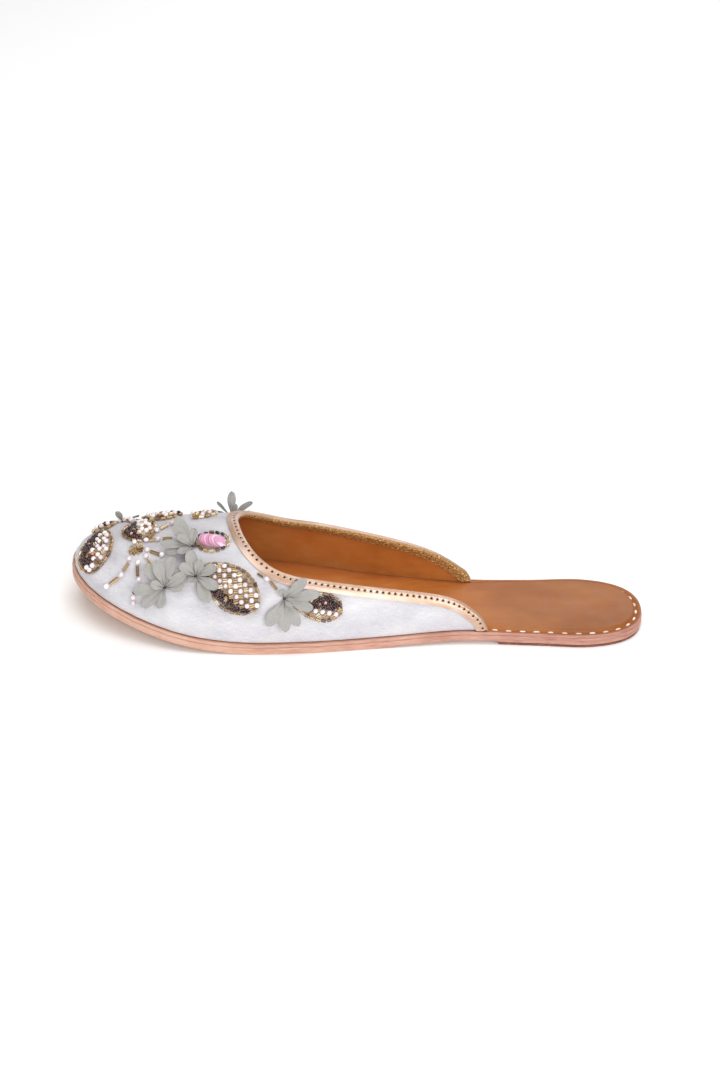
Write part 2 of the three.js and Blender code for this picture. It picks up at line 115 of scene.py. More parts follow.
class Curve:
    """A smooth curve through the rows of a table.

    Between two rows it is a cubic. Its slope at a row is that of the parabola through the row
    and its two neighbours.
    """

    def __init__(self, rows: Sequence[tuple[float, float]]) -> None:
        """Keeps the rows and works out the slope at each.

        Args:
            rows: Pairs of a place and the height there, in order.
        """
        self.x, self.y = np.array(rows, float).T
        span = np.diff(self.x)
        slope = np.diff(self.y) / span
        inner = (span[1:] * slope[:-1] + span[:-1] * slope[1:]) / (span[:-1] + span[1:])
        first, last = 2 * slope[0] - inner[0], 2 * slope[-1] - inner[-1]
        self.slope = np.concatenate([[first], inner, [last]])

    def __call__(self, value: Array) -> Array:
        """The curve's height at each value, level with the end rows outside them.

        Args:
            value: Places along the curve.

        Returns:
            The height at each.
        """
        at = np.clip(value, self.x[0], self.x[-1])
        i = np.clip(np.searchsorted(self.x, at, side="right") - 1, 0, len(self.x) - 2)
        span = self.x[i + 1] - self.x[i]
        t = (at - self.x[i]) / span
        between = self.y[i] + (self.y[i + 1] - self.y[i]) * t * t * (3 - 2 * t)
        bend = t * (1 - t) ** 2 * self.slope[i] - t * t * (1 - t) * self.slope[i + 1]
        return between + span * bend


# ---- The last ------------


@dataclass
class CollarLine:
    """Places along the collar, with the direction down the upper square to the collar."""

    around: Array
    climb: Array
    here: Array
    down: Array


@dataclass
class Last:
    """The form that the shoe is made on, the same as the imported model's, in millimetres.

    A place on the form is a pair. around is 1 at the collar's left end, 0 at the toe and -1 at
    its right end. climb is the angle up the section, 0 at the sole and a quarter turn on top.
    """

    length: float = 258.0
    toe_swing: float = 14.0
    swing_start: float = 0.2
    toe_spring: float = 16.5
    spring_start: float = 170.0
    shank_front: float = 130.0
    shank_back: float = 75.0
    heel_step: float = 1.5
    outsole_thick: float = 3.2
    insole_thick: float = 1.2
    fit_gap: float = 0.3
    welt_ledge: float = 1.2
    instep_height: float = 45.7
    rear_height: float = 33.5
    rear_x: float = 60.0
    spine_x: float = 155.0
    spine_shape: float = 1.5
    square_back: float = 1.88
    square_toe_level: float = 1.2
    square_toe_rise: float = 2.3
    collar_end_left: float = 70.8
    collar_end_right: float = 76.0
    collar_ease: float = 0.03
    ease_fade: float = 0.12

    # Half the sole's width at each share of its length.
    widths: ClassVar = [
        (0, 0), (0.03, 18.6), (0.1, 25.2), (0.2, 24.2), (0.32, 24), (0.45, 29.6),
        (0.58, 36.4), (0.7, 40.6), (0.8, 40.6), (0.89, 34.4), (0.96, 23.8), (1, 0),
    ]
    # Climb of the collar's sides in degrees, from its rear end at 0 to abreast of the instep at 1.
    collar_left: ClassVar = [
        (0, 1), (0.03, 11.9), (0.07, 18.3), (0.12, 24.4), (0.19, 29.4), (0.28, 32.6), (0.43, 35.2),
        (0.67, 38.4), (0.9, 42.1), (1, 43.7),
    ]
    collar_right: ClassVar = [
        (0, 1), (0.03, 10.3), (0.07, 15.3), (0.15, 24.2), (0.24, 31.2), (0.35, 36.1), (0.54, 40.3),
        (0.77, 43), (1, 45),
    ]
    # Reach of the collar's front from the instep: turn is 1 abreast on the left, 0 at the toe.
    collar_front: ClassVar = [
        (-1, 25.3), (-0.7, 28.7), (-0.47, 31.2), (-0.3, 31), (-0.13, 29.1), (0, 27.4), (0.27, 25.8),
        (0.47, 25.9), (0.7, 25.8), (1, 25.2),
    ]
    least_climb: ClassVar[float] = np.radians(0.4)
    most_climb: ClassVar[float] = np.radians(88)
    around_step: ClassVar[float] = 0.003
    climb_step: ClassVar[float] = np.radians(0.35)

    def __post_init__(self) -> None:
        """Makes the curves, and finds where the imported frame's origin lies."""
        self.half = Curve([(np.arccos(1 - 2 * along), half) for along, half in self.widths])
        self.left, self.right = Curve(self.collar_left), Curve(self.collar_right)
        self.front = Curve(self.collar_front)
        self.spine_front = np.array([self.spine_x, self.centre_y(np.array(self.spine_x))])
        ahead = self.feather(np.array(0.0)) - self.spine_front
        self.toe_bearing = np.arctan2(ahead[1], ahead[0])
        lowest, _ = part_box("outsole")
        angle = np.linspace(0, np.pi, 2001)
        right_edge = self.edge(-1.0, angle, 0.0)[:, 1].min()
        self.origin = np.array([lowest.x / MM, lowest.y / MM - right_edge, 0.0])

    def centre_y(self, x: Array) -> Array:
        """The sole's middle line: straight at the heel, then swinging right by a power curve."""
        share = np.maximum((x / self.length - self.swing_start) / (1 - self.swing_start), 0)
        return -self.toe_swing * share**1.5

    def sole_line(self, x: Array) -> Array:
        """Height of the sole's line: a parabola up to the toe and a soft step up to the heel."""
        spring = np.maximum((x - self.spring_start) / (self.length - self.spring_start), 0) ** 2
        return self.toe_spring * spring + self.heel_step * smooth(-self.shank_front, -self.shank_back, -x)

    def outsole_top(self, x: Array) -> Array:
        """Height of the outsole's upper face."""
        return self.sole_line(x) + self.outsole_thick

    def insole_top(self, x: Array) -> Array:
        """Height of the insole's upper face."""
        return self.outsole_top(x) + self.fit_gap + self.insole_thick

    def seat(self, x: Array) -> Array:
        """Height of the upper's lower edge."""
        return self.insole_top(x) + self.fit_gap

    def edge(self, side: Array, angle: Array, inset: Array) -> Array:
        """A point of the sole's outline, moved square to it inwards.

        The outline's x runs as (1 - cos angle) / 2 of the length, so both ends come out round.

        Args:
            side: 1 on the left, -1 on the right.
            angle: 0 at the heel, half a turn at the toe.
            inset: Distance inwards.

        Returns:
            Points seen from above, shape (..., 2).
        """
        side, angle, inset = np.broadcast_arrays(side, angle, inset)

        def spot(a: Array) -> Array:
            """The bare outline's point at an angle."""
            x = self.length * (1 - np.cos(a)) / 2
            return np.stack([x, self.centre_y(x) + side * self.half(a)], -1)

        run = spot(np.minimum(angle + 0.002, np.pi)) - spot(np.maximum(angle - 0.002, 0))
        ends = ((angle <= 0) | (angle >= np.pi))[..., None]
        turned = np.where(angle <= 0, side, -side)
        run = np.where(ends, np.stack([0 * turned, turned], -1), run)
        inward = unit(np.stack([run[..., 1], -run[..., 0]], -1)) * (side * inset)[..., None]
        return spot(angle) + inward

    def feather(self, around: Array) -> Array:
        """The line where the upper meets the sole, a narrow ledge inside the outline.

        Args:
            around: Places round the form.

        Returns:
            Points seen from above, shape (..., 2).
        """
        side = np.where(around >= 0, 1.0, -1.0)
        end_x = np.where(around >= 0, self.collar_end_left, self.collar_end_right)
        end = np.arccos(1 - 2 * end_x / self.length)
        return self.edge(side, np.pi + (end - np.pi) * np.abs(around), self.welt_ledge)

    def section(self, around: Array) -> tuple[Array, Array, Array, Array]:
        """Foot, spine point and both powers, level and upwards, of each place's superellipse.

        Args:
            around: Places round the form.

        Returns:
            The foot and the spine point seen from above, then the two powers.
        """
        foot = self.feather(around)
        spine_x = np.minimum(foot[..., 0], self.spine_x)
        spine = np.stack([spine_x, self.centre_y(spine_x)], -1)
        fan = np.clip((foot[..., 0] - self.spine_x) / (self.length - self.spine_x), 0, 1)
        level, rise = (
            2 / (self.square_back + (toe - self.square_back) * fan)
            for toe in (self.square_toe_level, self.square_toe_rise)
        )
        return foot, spine, level, rise

    def form(self, around: Array, climb: Array) -> Array:
        """Points of the form: each section is a quarter of a superellipse, foot to spine.

        Args:
            around: Places round the form.
            climb: Places up it, in radians.

        Returns:
            Points, shape (..., 3).
        """
        around, climb = np.broadcast_arrays(np.asarray(around, float), np.asarray(climb, float))
        foot, spine, level_power, rise_power = self.section(around)
        inward = 1 - np.maximum(np.cos(climb), 0) ** level_power
        upward = np.maximum(np.sin(climb), 0) ** rise_power
        back = np.clip((self.spine_x - spine[..., 0]) / (self.spine_x - self.rear_x), 0, 1)
        top = self.instep_height + (self.rear_height - self.instep_height) * back**self.spine_shape
        seat = self.seat(foot[..., 0])
        level = foot + (spine - foot) * inward[..., None]
        return np.concatenate([level, (seat + (top - seat) * upward)[..., None]], -1)

    def slopes(self, around: Array, climb: Array) -> tuple[Array, Array]:
        """How the form moves per unit of around and of climb, by small differences.

        Args:
            around: Places round the form.
            climb: Places up it, in radians.

        Returns:
            The movement per unit of around, then per radian of climb.
        """
        up = np.clip(climb, self.least_climb, self.most_climb)
        da, dc = self.around_step, self.climb_step
        along = (self.form(around + da, up) - self.form(around - da, up)) / (2 * da)
        return along, (self.form(around, up + dc) - self.form(around, up - dc)) / (2 * dc)

    def outward(self, around: Array, climb: Array) -> Array:
        """The form's normal, away from the foot."""
        along, upward = self.slopes(around, climb)
        return unit(np.cross(along, upward))

    def offset(self, around: Array, climb: Array, out: Array) -> Array:
        """The form moved out by a distance. At the sole it moves level, along the seat.

        Args:
            around: Places round the form.
            climb: Places up it, in radians.
            out: Distances out.

        Returns:
            Points, shape (..., 3).
        """
        normal = self.outward(around, climb)
        level = unit(normal * np.array([1.0, 1.0, 0.0]))
        low = (np.asarray(climb) <= self.least_climb)[..., None]
        return self.form(around, climb) + np.where(low, level, normal) * np.asarray(out)[..., None]

    def nearest(self, target: Array, around: Array, climb: Array) -> tuple[Array, Array]:
        """The places on the form nearest to some points, by repeated least squares.

        Args:
            target: Points, shape (..., 3).
            around: First guess.
            climb: First guess.

        Returns:
            around and climb of the places found.
        """
        around = np.broadcast_to(around, target.shape[:-1]).astype(float)
        climb = np.broadcast_to(climb, target.shape[:-1]).astype(float)
        for _ in range(8):
            a, b = self.slopes(around, climb)
            miss = target - self.form(around, climb)
            aa, ab, bb = (a * a).sum(-1), (a * b).sum(-1), (b * b).sum(-1)
            am, bm = (a * miss).sum(-1), (b * miss).sum(-1)
            det = aa * bb - ab * ab
            around = around + (bb * am - ab * bm) / det
            climb = np.clip(climb + (aa * bm - ab * am) / det, self.least_climb, self.most_climb)
        return around, climb

    def collar_climb(self, around: Array) -> Array:
        """How far up the section the collar runs: the tables' climb, averaged over a short way.

        Args:
            around: Places round the form.

        Returns:
            The climb at each, in radians.
        """
        ease = self.collar_ease * np.clip((1 - np.abs(around)) / self.ease_fade, 0, 1)
        near = [around + share * ease for share in np.linspace(-1, 1, 7)]
        return np.mean([self.tabled_climb(place) for place in near], axis=0)

    def tabled_climb(self, around: Array) -> Array:
        """The collar's climb straight from its side and front tables.

        Args:
            around: Places round the form.

        Returns:
            The climb at each, in radians.
        """
        foot, spine, level_power, _ = self.section(around)
        side = np.where(around >= 0, 1.0, -1.0)
        end_x = np.where(around >= 0, self.collar_end_left, self.collar_end_right)
        along = (foot[..., 0] - end_x) / (self.spine_x - end_x)
        flank = np.radians(np.where(side > 0, self.left(along), self.right(along)))
        reach_out = foot - spine
        bearing = np.arctan2(reach_out[..., 1], reach_out[..., 0]) - self.toe_bearing
        bearing = np.arctan2(np.sin(bearing), np.cos(bearing))
        abreast = np.abs(side * np.pi / 2 - self.toe_bearing)
        share = self.front(bearing / abreast) / np.linalg.norm(reach_out, axis=-1)
        ahead = np.arccos(np.clip(share, 0, 1) ** (1 / level_power))
        return np.where(foot[..., 0] < self.spine_x, flank, ahead)

    def collar(self, around: Array) -> CollarLine:
        """The collar's points, each with the direction down the upper square to the collar.

        Args:
            around: Places round the form.

        Returns:
            The line through them.
        """
        climb = self.collar_climb(around)
        here = self.form(around, climb)
        beside = around - self.around_step
        run = unit(self.form(beside, self.collar_climb(beside)) - here)
        down = unit(np.cross(self.outward(around, climb), run))
        upward = self.slopes(around, climb)[1]
        flip = np.where((down * upward).sum(-1) > 0, -1.0, 1.0)
        return CollarLine(around, climb, here, down * flip[..., None])

    def below(self, line: CollarLine, depth: Array, out: Array) -> Array:
        """Points a depth down from the collar, moved out by a distance.

        Args:
            line: The collar's places, n of them.
            depth: Depths, shape (n, k).
            out: Distances out of the form, shape (n, k).

        Returns:
            Points, shape (n, k, 3).
        """
        target = line.here[:, None] + line.down[:, None] * depth[..., None]
        place = self.nearest(target, line.around[:, None], line.climb[:, None])
        return self.offset(*place, out)


# ---- Meshes ------------


@dataclass
class Skin:
    """A mesh in the making: points, four-cornered faces, UV in mm at the points, finishes."""

    points: Array
    faces: Array
    uv: Array
    finish: Array

    @classmethod
    def grid(cls, points: Array, uv: Array, finish: Array | int = 0) -> "Skin":
        """A grid of points joined to its neighbours.

        Args:
            points: Shape (rows, columns, 3).
            uv: Shape (rows, columns, 2).
            finish: One number, or one for each face, shape (rows - 1, columns - 1).

        Returns:
            The skin, open at the grid's edges.
        """
        rows, columns = points.shape[:2]
        number = np.arange(rows * columns).reshape(rows, columns)
        corners = [number[:-1, :-1], number[1:, :-1], number[1:, 1:], number[:-1, 1:]]
        faces = np.stack([c.ravel() for c in corners], -1)
        given = np.broadcast_to(finish, (rows - 1, columns - 1)).ravel()
        return cls(points.reshape(-1, 3), faces, uv.reshape(-1, 2), given.copy())

    @classmethod
    def join(cls, skins: Sequence["Skin"]) -> "Skin":
        """Several skins in one, each face's corner numbers moved past the points before it.

        Args:
            skins: What to join, in order.

        Returns:
            The one skin.
        """
        starts = np.cumsum([0] + [len(s.points) for s in skins[:-1]])
        return cls(
            np.concatenate([s.points for s in skins]),
            np.concatenate([s.faces + start for s, start in zip(skins, starts)]),
            np.concatenate([s.uv for s in skins]),
            np.concatenate([s.finish for s in skins]),
        )

    @classmethod
    def shell(cls, outer: Array, inner: Array, uv: Array, finish: int = 0) -> "Skin":
        """A closed sheet between two equal grids of points: two faces and a rim round them.

        Args:
            outer: One face, shape (rows, columns, 3).
            inner: The other face, the same shape.
            uv: UV of both faces.
            finish: The finish of all of it.

        Returns:
            The closed skin.
        """
        sides = [cls.grid(outer, uv, finish), cls.grid(inner[:, ::-1], uv[:, ::-1], finish)]
        for rim in (np.s_[0], np.s_[-1], np.s_[:, 0], np.s_[:, -1]):
            sides.append(cls.grid(np.stack([outer[rim], inner[rim]]), np.stack([uv[rim]] * 2), finish))
        return cls.join(sides)

    @classmethod
    def copies(cls, shape: "Skin", places: Array, turns: Array, sizes: Array, tint: Array) -> "Skin":
        """One small shape repeated: each copy is scaled, turned, then moved to its place.

        Args:
            shape: The shape, about its own origin.
            places: Where each copy goes, shape (n, 3).
            turns: Its axes as columns, shape (n, 3, 3).
            sizes: Its scale along its own axes, shape (n, 3).
            tint: A number from 0 to 1 for each copy, kept as its V coordinate.

        Returns:
            All copies in one skin.
        """
        count, corners = len(places), len(shape.points)
        scaled = shape.points[None] * sizes[:, None]
        points = np.einsum("nij,npj->npi", turns, scaled) + places[:, None]
        starts = (np.arange(count) * corners)[:, None, None]
        uv = np.stack([np.tile(shape.uv[:, 0], (count, 1)), np.repeat(tint[:, None], corners, 1)], -1)
        faces = (shape.faces[None] + starts).reshape(-1, 4)
        return cls(points.reshape(-1, 3), faces, uv.reshape(-1, 2), np.tile(shape.finish, count))

    def dressed(self, finish: int) -> "Skin":
        """The same skin with one finish number on all faces."""
        return Skin(self.points, self.faces, self.uv, np.full(len(self.faces), finish))

    def piece(
        self,
        last: Last,
        name: str,
        finishes: Sequence[bpy.types.Material],
        slot: str,
        replaces: Sequence[str] = (),
        sharp: float = 50.0,
    ) -> bpy.types.Object:
        """slot: A material slot name; not used.
            replaces: CAD nodes that it stands for.
            sharp: Edges that bend by more than this many degrees stay crisp.

        Returns:
            The object.
        """
        mesh = bpy.data.meshes.new(name)
        mesh.from_pydata(((self.points + last.origin) * MM).tolist(), [], self.faces.tolist())
        for material in finishes:
            mesh.materials.append(material)
        mesh.polygons.foreach_set("material_index", self.finish.astype(np.int32))
        layer = mesh.uv_layers.new(name="millimetres")
        layer.uv.foreach_set("vector", self.uv[self.faces.ravel()].astype(np.float32).ravel())
        work = bmesh.new()
        work.from_mesh(mesh)
        bmesh.ops.remove_doubles(work, verts=work.verts, dist=1e-6)
        bmesh.ops.dissolve_degenerate(work, edges=work.edges, dist=1e-7)
        bmesh.ops.recalc_face_normals(work, faces=work.faces)
        work.to_mesh(mesh)
        work.free()
        mesh.polygons.foreach_set("use_smooth", np.ones(len(mesh.polygons), bool))
        mesh.set_sharp_from_angle(angle=np.radians(sharp))
        made = bpy.data.objects.new(name, mesh)
        bpy.context.scene.collection.objects.link(made)
        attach(made, BODY)
        if replaces:
            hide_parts(*replaces)
        log.info("%s: %d faces", name, len(mesh.polygons))
        return made


# ---- Finishes ------------


def linear(hex_colour: str) -> tuple[float, float, float, float]:
    """An sRGB hex colour as linear RGBA, by the sRGB curve.

    Args:
        hex_colour: Six hex digits after a #.

    Returns:
        Red, green, blue and alpha.
    """
    code = hex_colour.lstrip("#")
    shares = [int(code[i : i + 2], 16) / 255 for i in (0, 2, 4)]
    return (*[c / 12.92 if c <= 0.04045 else ((c + 0.055) / 1.055) ** 2.4 for c in shares], 1.0)


def feed(node: Node, key: str | int, source: Node | Socket) -> None:
    """Links a socket, or a node's first output, to an input of another node."""
    socket = source.outputs[0] if isinstance(source, Node) else source
    node.id_data.links.new(socket, node.inputs[key])


def add(tree: Tree, kind: str, inputs: dict[str | int, object] | None = None) -> Node:
    """Adds a node, gives it its settings and links its inputs.

    Args:
        tree: The material's nodes.
        kind: The node's type, without the words before it.
        inputs: Properties, values of inputs, sockets or nodes that feed inputs, and a colour
            ramp's stops under the key stops. Properties come before what is fed.

    Returns:
        The node.
    """
    node = tree.nodes.new("ShaderNode" + kind)
    for key, value in (inputs or {}).items():
        if key == "stops":
            ramp = node.color_ramp.elements
            ramp[0].position, ramp[-1].position = value[0][0], value[-1][0]
            for place, _ in value[1:-1]:
                ramp.new(place)
            for stop, (_, colour) in zip(ramp, value):
                stop.color = linear(colour)
        elif isinstance(value, (Node, Socket)):
            feed(node, key, value)
        elif isinstance(key, str) and hasattr(node, key):
            setattr(node, key, value)
        else:
            node.inputs[key].default_value = value
    return node


@dataclass(frozen=True)
class Finish:
    """What every finish shares: a name, shader constants and a pattern."""

    title: ClassVar[str] = "finish"
    constants: ClassVar[dict[str, object]] = {}

    def build(self) -> bpy.types.Material:
        """Makes the material: one shader with its constants, then the pattern that feeds it.

        Returns:
            The material.
        """
        material = bpy.data.materials.new(self.title)
        material.use_nodes = True
        tree = material.node_tree
        tree.nodes.clear()
        shader = add(tree, "BsdfPrincipled", dict(self.constants))
        add(tree, "OutputMaterial", {"Surface": shader})
        self.dress(tree, shader)
        return material

    def dress(self, tree: Tree, shader: Node) -> None:
        """Adds the pattern. A finish of its own overrides this."""

    def millimetres(self, tree: Tree, scale: tuple[float, float, float] = (1, 1, 1)) -> Socket:
        """The piece's UV, which is in mm, multiplied along each way."""
        uv = add(tree, "UVMap", {"uv_map": "millimetres"})
        return add(tree, "Mapping", {"Scale": scale, "Vector": uv}).outputs[0]

    def body_millimetres(self, tree: Tree, scale: tuple[float, float, float] = (1, 1, 1)) -> Socket:
        """Object coordinates brought from metres to mm, multiplied along each way.

        Args:
            tree: The material's nodes.
            scale: The factor along each way.

        Returns:
            The socket that gives them.
        """
        place = add(tree, "TexCoord")
        per_metre = tuple(1000 * s for s in scale)
        return add(tree, "Mapping", {"Scale": per_metre, "Vector": place.outputs["Object"]}).outputs[0]

    def relief(self, shader: Node, height: Node | Socket, depth_mm: float) -> None:
        """Bumps the shader's normal by a height from 0 to 1 over a real depth."""
        bump = add(shader.id_data, "Bump", {"Distance": depth_mm * MM, "Height": height})
        feed(shader, "Normal", bump)


@dataclass(frozen=True)
class Satin(Finish):
    """Ivory art silk satin, warp faced: long floats give a soft sheen, slubs a fine grain."""

    # Warp threads are about 0.15 mm apart. They are drawn twice as wide, so that they show.
    thread: float = 0.3
    float_length: float = 3.5
    title: ClassVar[str] = "ivory_art_silk_satin"
    constants: ClassVar = {
        "Roughness": 0.42, "Sheen Weight": 0.18, "Sheen Roughness": 0.35, "Specular IOR Level": 0.5,
    }

    def dress(self, tree: Tree, shader: Node) -> None:
        """Streaks along the warp, finer ones across it, and slow clouds of painted reflection.

        Args:
            tree: The material's nodes.
            shader: Its shader.
        """
        warp_way = self.millimetres(tree, (1 / self.float_length, 1 / self.thread, 1))
        weft_way = self.millimetres(tree, (1 / self.thread, 1 / 1.2, 1))
        painted_reflection_way = self.millimetres(tree, (1 / 26, 1 / 11, 1))
        warp = add(tree, "TexNoise", {"Scale": 1.0, "Detail": 3.0, "Vector": warp_way})
        weft = add(tree, "TexNoise", {"Scale": 1.0, "Detail": 2.0, "Vector": weft_way})
        # Slow lavender grey clouds of painted reflection, mixed into the satin's colour below.
        clouds = add(tree, "TexNoise", {"Scale": 1.0, "Detail": 2.0, "Vector": painted_reflection_way})
        grain = add(tree, "Mix", {"Factor": 0.45, "A": warp, "B": weft})
        shade = add(tree, "Mix", {"Factor": 0.4, "A": grain, "B": clouds})
        colour = add(tree, "ValToRGB",
                     {"stops": [(0.3, "#9E9CA4"), (0.44, "#BDBAC0"), (0.56, "#CDCBCE"), (0.7, "#DFDDDE")],
                      "Fac": shade})
        feed(shader, "Base Color", colour)
        gloss = add(tree, "MapRange", {"From Min": 0.3, "From Max": 0.7, "To Min": 0.36, "To Max": 0.52,
                                       "Value": warp})
        feed(shader, "Roughness", gloss)
        self.relief(shader, grain, 0.16)


@dataclass(frozen=True)
class SoftLeather(Finish):
    """Vegetable tanned sheepskin, dyed and lightly glazed: fine pores and cloudy dye."""

    title: ClassVar[str] = "tan_glazed_sheepskin"
    constants: ClassVar = {"Roughness": 0.5, "Specular IOR Level": 0.22}
    stops: tuple = ((0.3, "#864D25"), (0.5, "#985B2F"), (0.68, "#A46838"))
    # Under the upper the colour turns a brighter, redder orange; the extra brightness is painted light
    # against the shade inside the shoe. From and to, in mm before the middle.
    front_stops: tuple = ((0.3, "#AE6228"), (0.5, "#C3773A"), (0.7, "#CF884E"))
    brightened_under_upper: tuple[float, float] = (-72.0, -28.0)
    pore: float = 0.5
    cloud: float = 24.0
    depth: float = 0.05

    def dress(self, tree: Tree, shader: Node) -> None:
        """Cells the size of pores, creases of a few millimetres and clouds of dye.

        Args:
            tree: The material's nodes.
            shader: Its shader.
        """
        pores = add(tree, "TexVoronoi", {"Scale": 1 / self.pore, "feature": "SMOOTH_F1",
                                         "Vector": self.body_millimetres(tree)})
        folds = add(tree, "TexNoise", {"Scale": 0.3, "Detail": 4.0,
                                       "Vector": self.body_millimetres(tree, (0.6, 1, 1))})
        clouds = add(tree, "TexNoise", {"Scale": 1 / self.cloud, "Detail": 3.0, "Roughness": 0.6,
                                        "Vector": self.body_millimetres(tree, (0.6, 1, 1))})
        shade = add(tree, "Mix", {"Factor": 0.25, "A": clouds, "B": folds})
        rear = add(tree, "ValToRGB", {"stops": list(self.stops), "Fac": shade})
        front = add(tree, "ValToRGB", {"stops": list(self.front_stops), "Fac": shade})
        place = add(tree, "SeparateXYZ", {"Vector": self.body_millimetres(tree)})
        # Blend towards the brighter orange under the upper: painted light against the shade there.
        forward = add(tree, "MapRange", {"From Min": self.brightened_under_upper[0], "From Max": self.brightened_under_upper[1],
                                         "Value": place})
        colour = add(tree, "Mix", {"data_type": "RGBA", "Factor": forward, 6: rear, 7: front})
        feed(shader, "Base Color", colour.outputs[2])
        gloss = add(tree, "MapRange", {"From Min": 0.3, "From Max": 0.7, "To Min": 0.38, "To Max": 0.54,
                                       "Value": folds})
        feed(shader, "Roughness", gloss)
        height = add(tree, "Mix", {"Factor": 0.5, "A": pores, "B": folds})
        self.relief(shader, height, self.depth)


@dataclass(frozen=True)
class LiningLeather(SoftLeather):
    """The same skin unglazed and darker with age, as inside the upper."""

    title: ClassVar[str] = "orange_brown_lining_leather"
    constants: ClassVar = {"Roughness": 0.55, "Specular IOR Level": 0.3}
    stops: tuple = ((0.3, "#A36027"), (0.5, "#BD7537"), (0.7, "#C7874C"))
    front_stops: tuple = ((0.3, "#A36027"), (0.5, "#BD7537"), (0.7, "#C7874C"))
    cloud: float = 30.0
    depth: float = 0.08


@dataclass(frozen=True)
class BuffHide(SoftLeather):
    """Buffalo hide of the sole's underside, undyed and walked smooth: coarse pores."""

    title: ClassVar[str] = "natural_buffalo_sole_hide"
    constants: ClassVar = {"Roughness": 0.6, "Specular IOR Level": 0.3}
    stops: tuple = ((0.3, "#A97C60"), (0.5, "#C39678"), (0.7, "#D2AA8D"))
    front_stops: tuple = ((0.3, "#A97C60"), (0.5, "#C39678"), (0.7, "#D2AA8D"))
    pore: float = 0.9
    cloud: float = 18.0
    depth: float = 0.12


@dataclass(frozen=True)
class CutEdge(Finish):
    """Cut edge of buffalo hide, trimmed by knife and stained pink: fibres lie along it."""

    title: ClassVar[str] = "pink_stained_cut_hide_edge"
    constants: ClassVar = {"Roughness": 0.62, "Specular IOR Level": 0.35}
    # Fibre bundles are about 0.3 mm thick and a few millimetres long.
    fibre: float = 0.4
    run: float = 5.0

    def dress(self, tree: Tree, shader: Node) -> None:
        """Fibres along the edge over slow clouds, redder towards the heel.

        Args:
            tree: The material's nodes.
            shader: Its shader.
        """
        along = self.millimetres(tree, (1 / self.run, 1 / self.fibre, 1))
        fibres = add(tree, "TexNoise", {"Scale": 1.0, "Detail": 4.0, "Roughness": 0.65, "Vector": along})
        slow = self.millimetres(tree, (1 / 14, 1 / 2.6, 1))
        clouds = add(tree, "TexNoise", {"Scale": 1.0, "Detail": 2.0, "Vector": slow})
        shade = add(tree, "Mix", {"Factor": 0.5, "A": fibres, "B": clouds})
        toe = add(tree, "ValToRGB", {"stops": [(0.3, "#AA7561"), (0.5, "#CA9F8B"), (0.7, "#D6B3A2")],
                                     "Fac": shade})
        heel = add(tree, "ValToRGB", {"stops": [(0.3, "#8D5649"), (0.5, "#B88676"), (0.7, "#CAA697")],
                                      "Fac": shade})
        place = add(tree, "SeparateXYZ", {"Vector": self.body_millimetres(tree)})
        forward = add(tree, "MapRange", {"From Min": -60.0, "From Max": 50.0, "Value": place})
        colour = add(tree, "Mix", {"data_type": "RGBA", "Factor": forward, 6: heel, 7: toe})
        feed(shader, "Base Color", colour.outputs[2])
        self.relief(shader, fibres, 0.16)


@dataclass(frozen=True)
class WaxedEdge(Finish):
    """Edge waxed dark with beeswax and iron dye, as a maker seals a seam."""

    title: ClassVar[str] = "dark_waxed_edge"
    constants: ClassVar = {"Roughness": 0.5}

    def dress(self, tree: Tree, shader: Node) -> None:
        """Wax lies unevenly, so the dye shows through in streaks of a few millimetres.

        Args:
            tree: The material's nodes.
            shader: Its shader.
        """
        streaks = add(tree, "TexNoise", {"Scale": 1.0, "Detail": 3.0,
                                         "Vector": self.millimetres(tree, (0.35, 1.5, 1))})
        colour = add(tree, "ValToRGB", {"stops": [(0.3, "#4E2A22"), (0.5, "#70402F"), (0.72, "#A0644C")],
                                        "Fac": streaks})
        feed(shader, "Base Color", colour)
        self.relief(shader, streaks, 0.1)


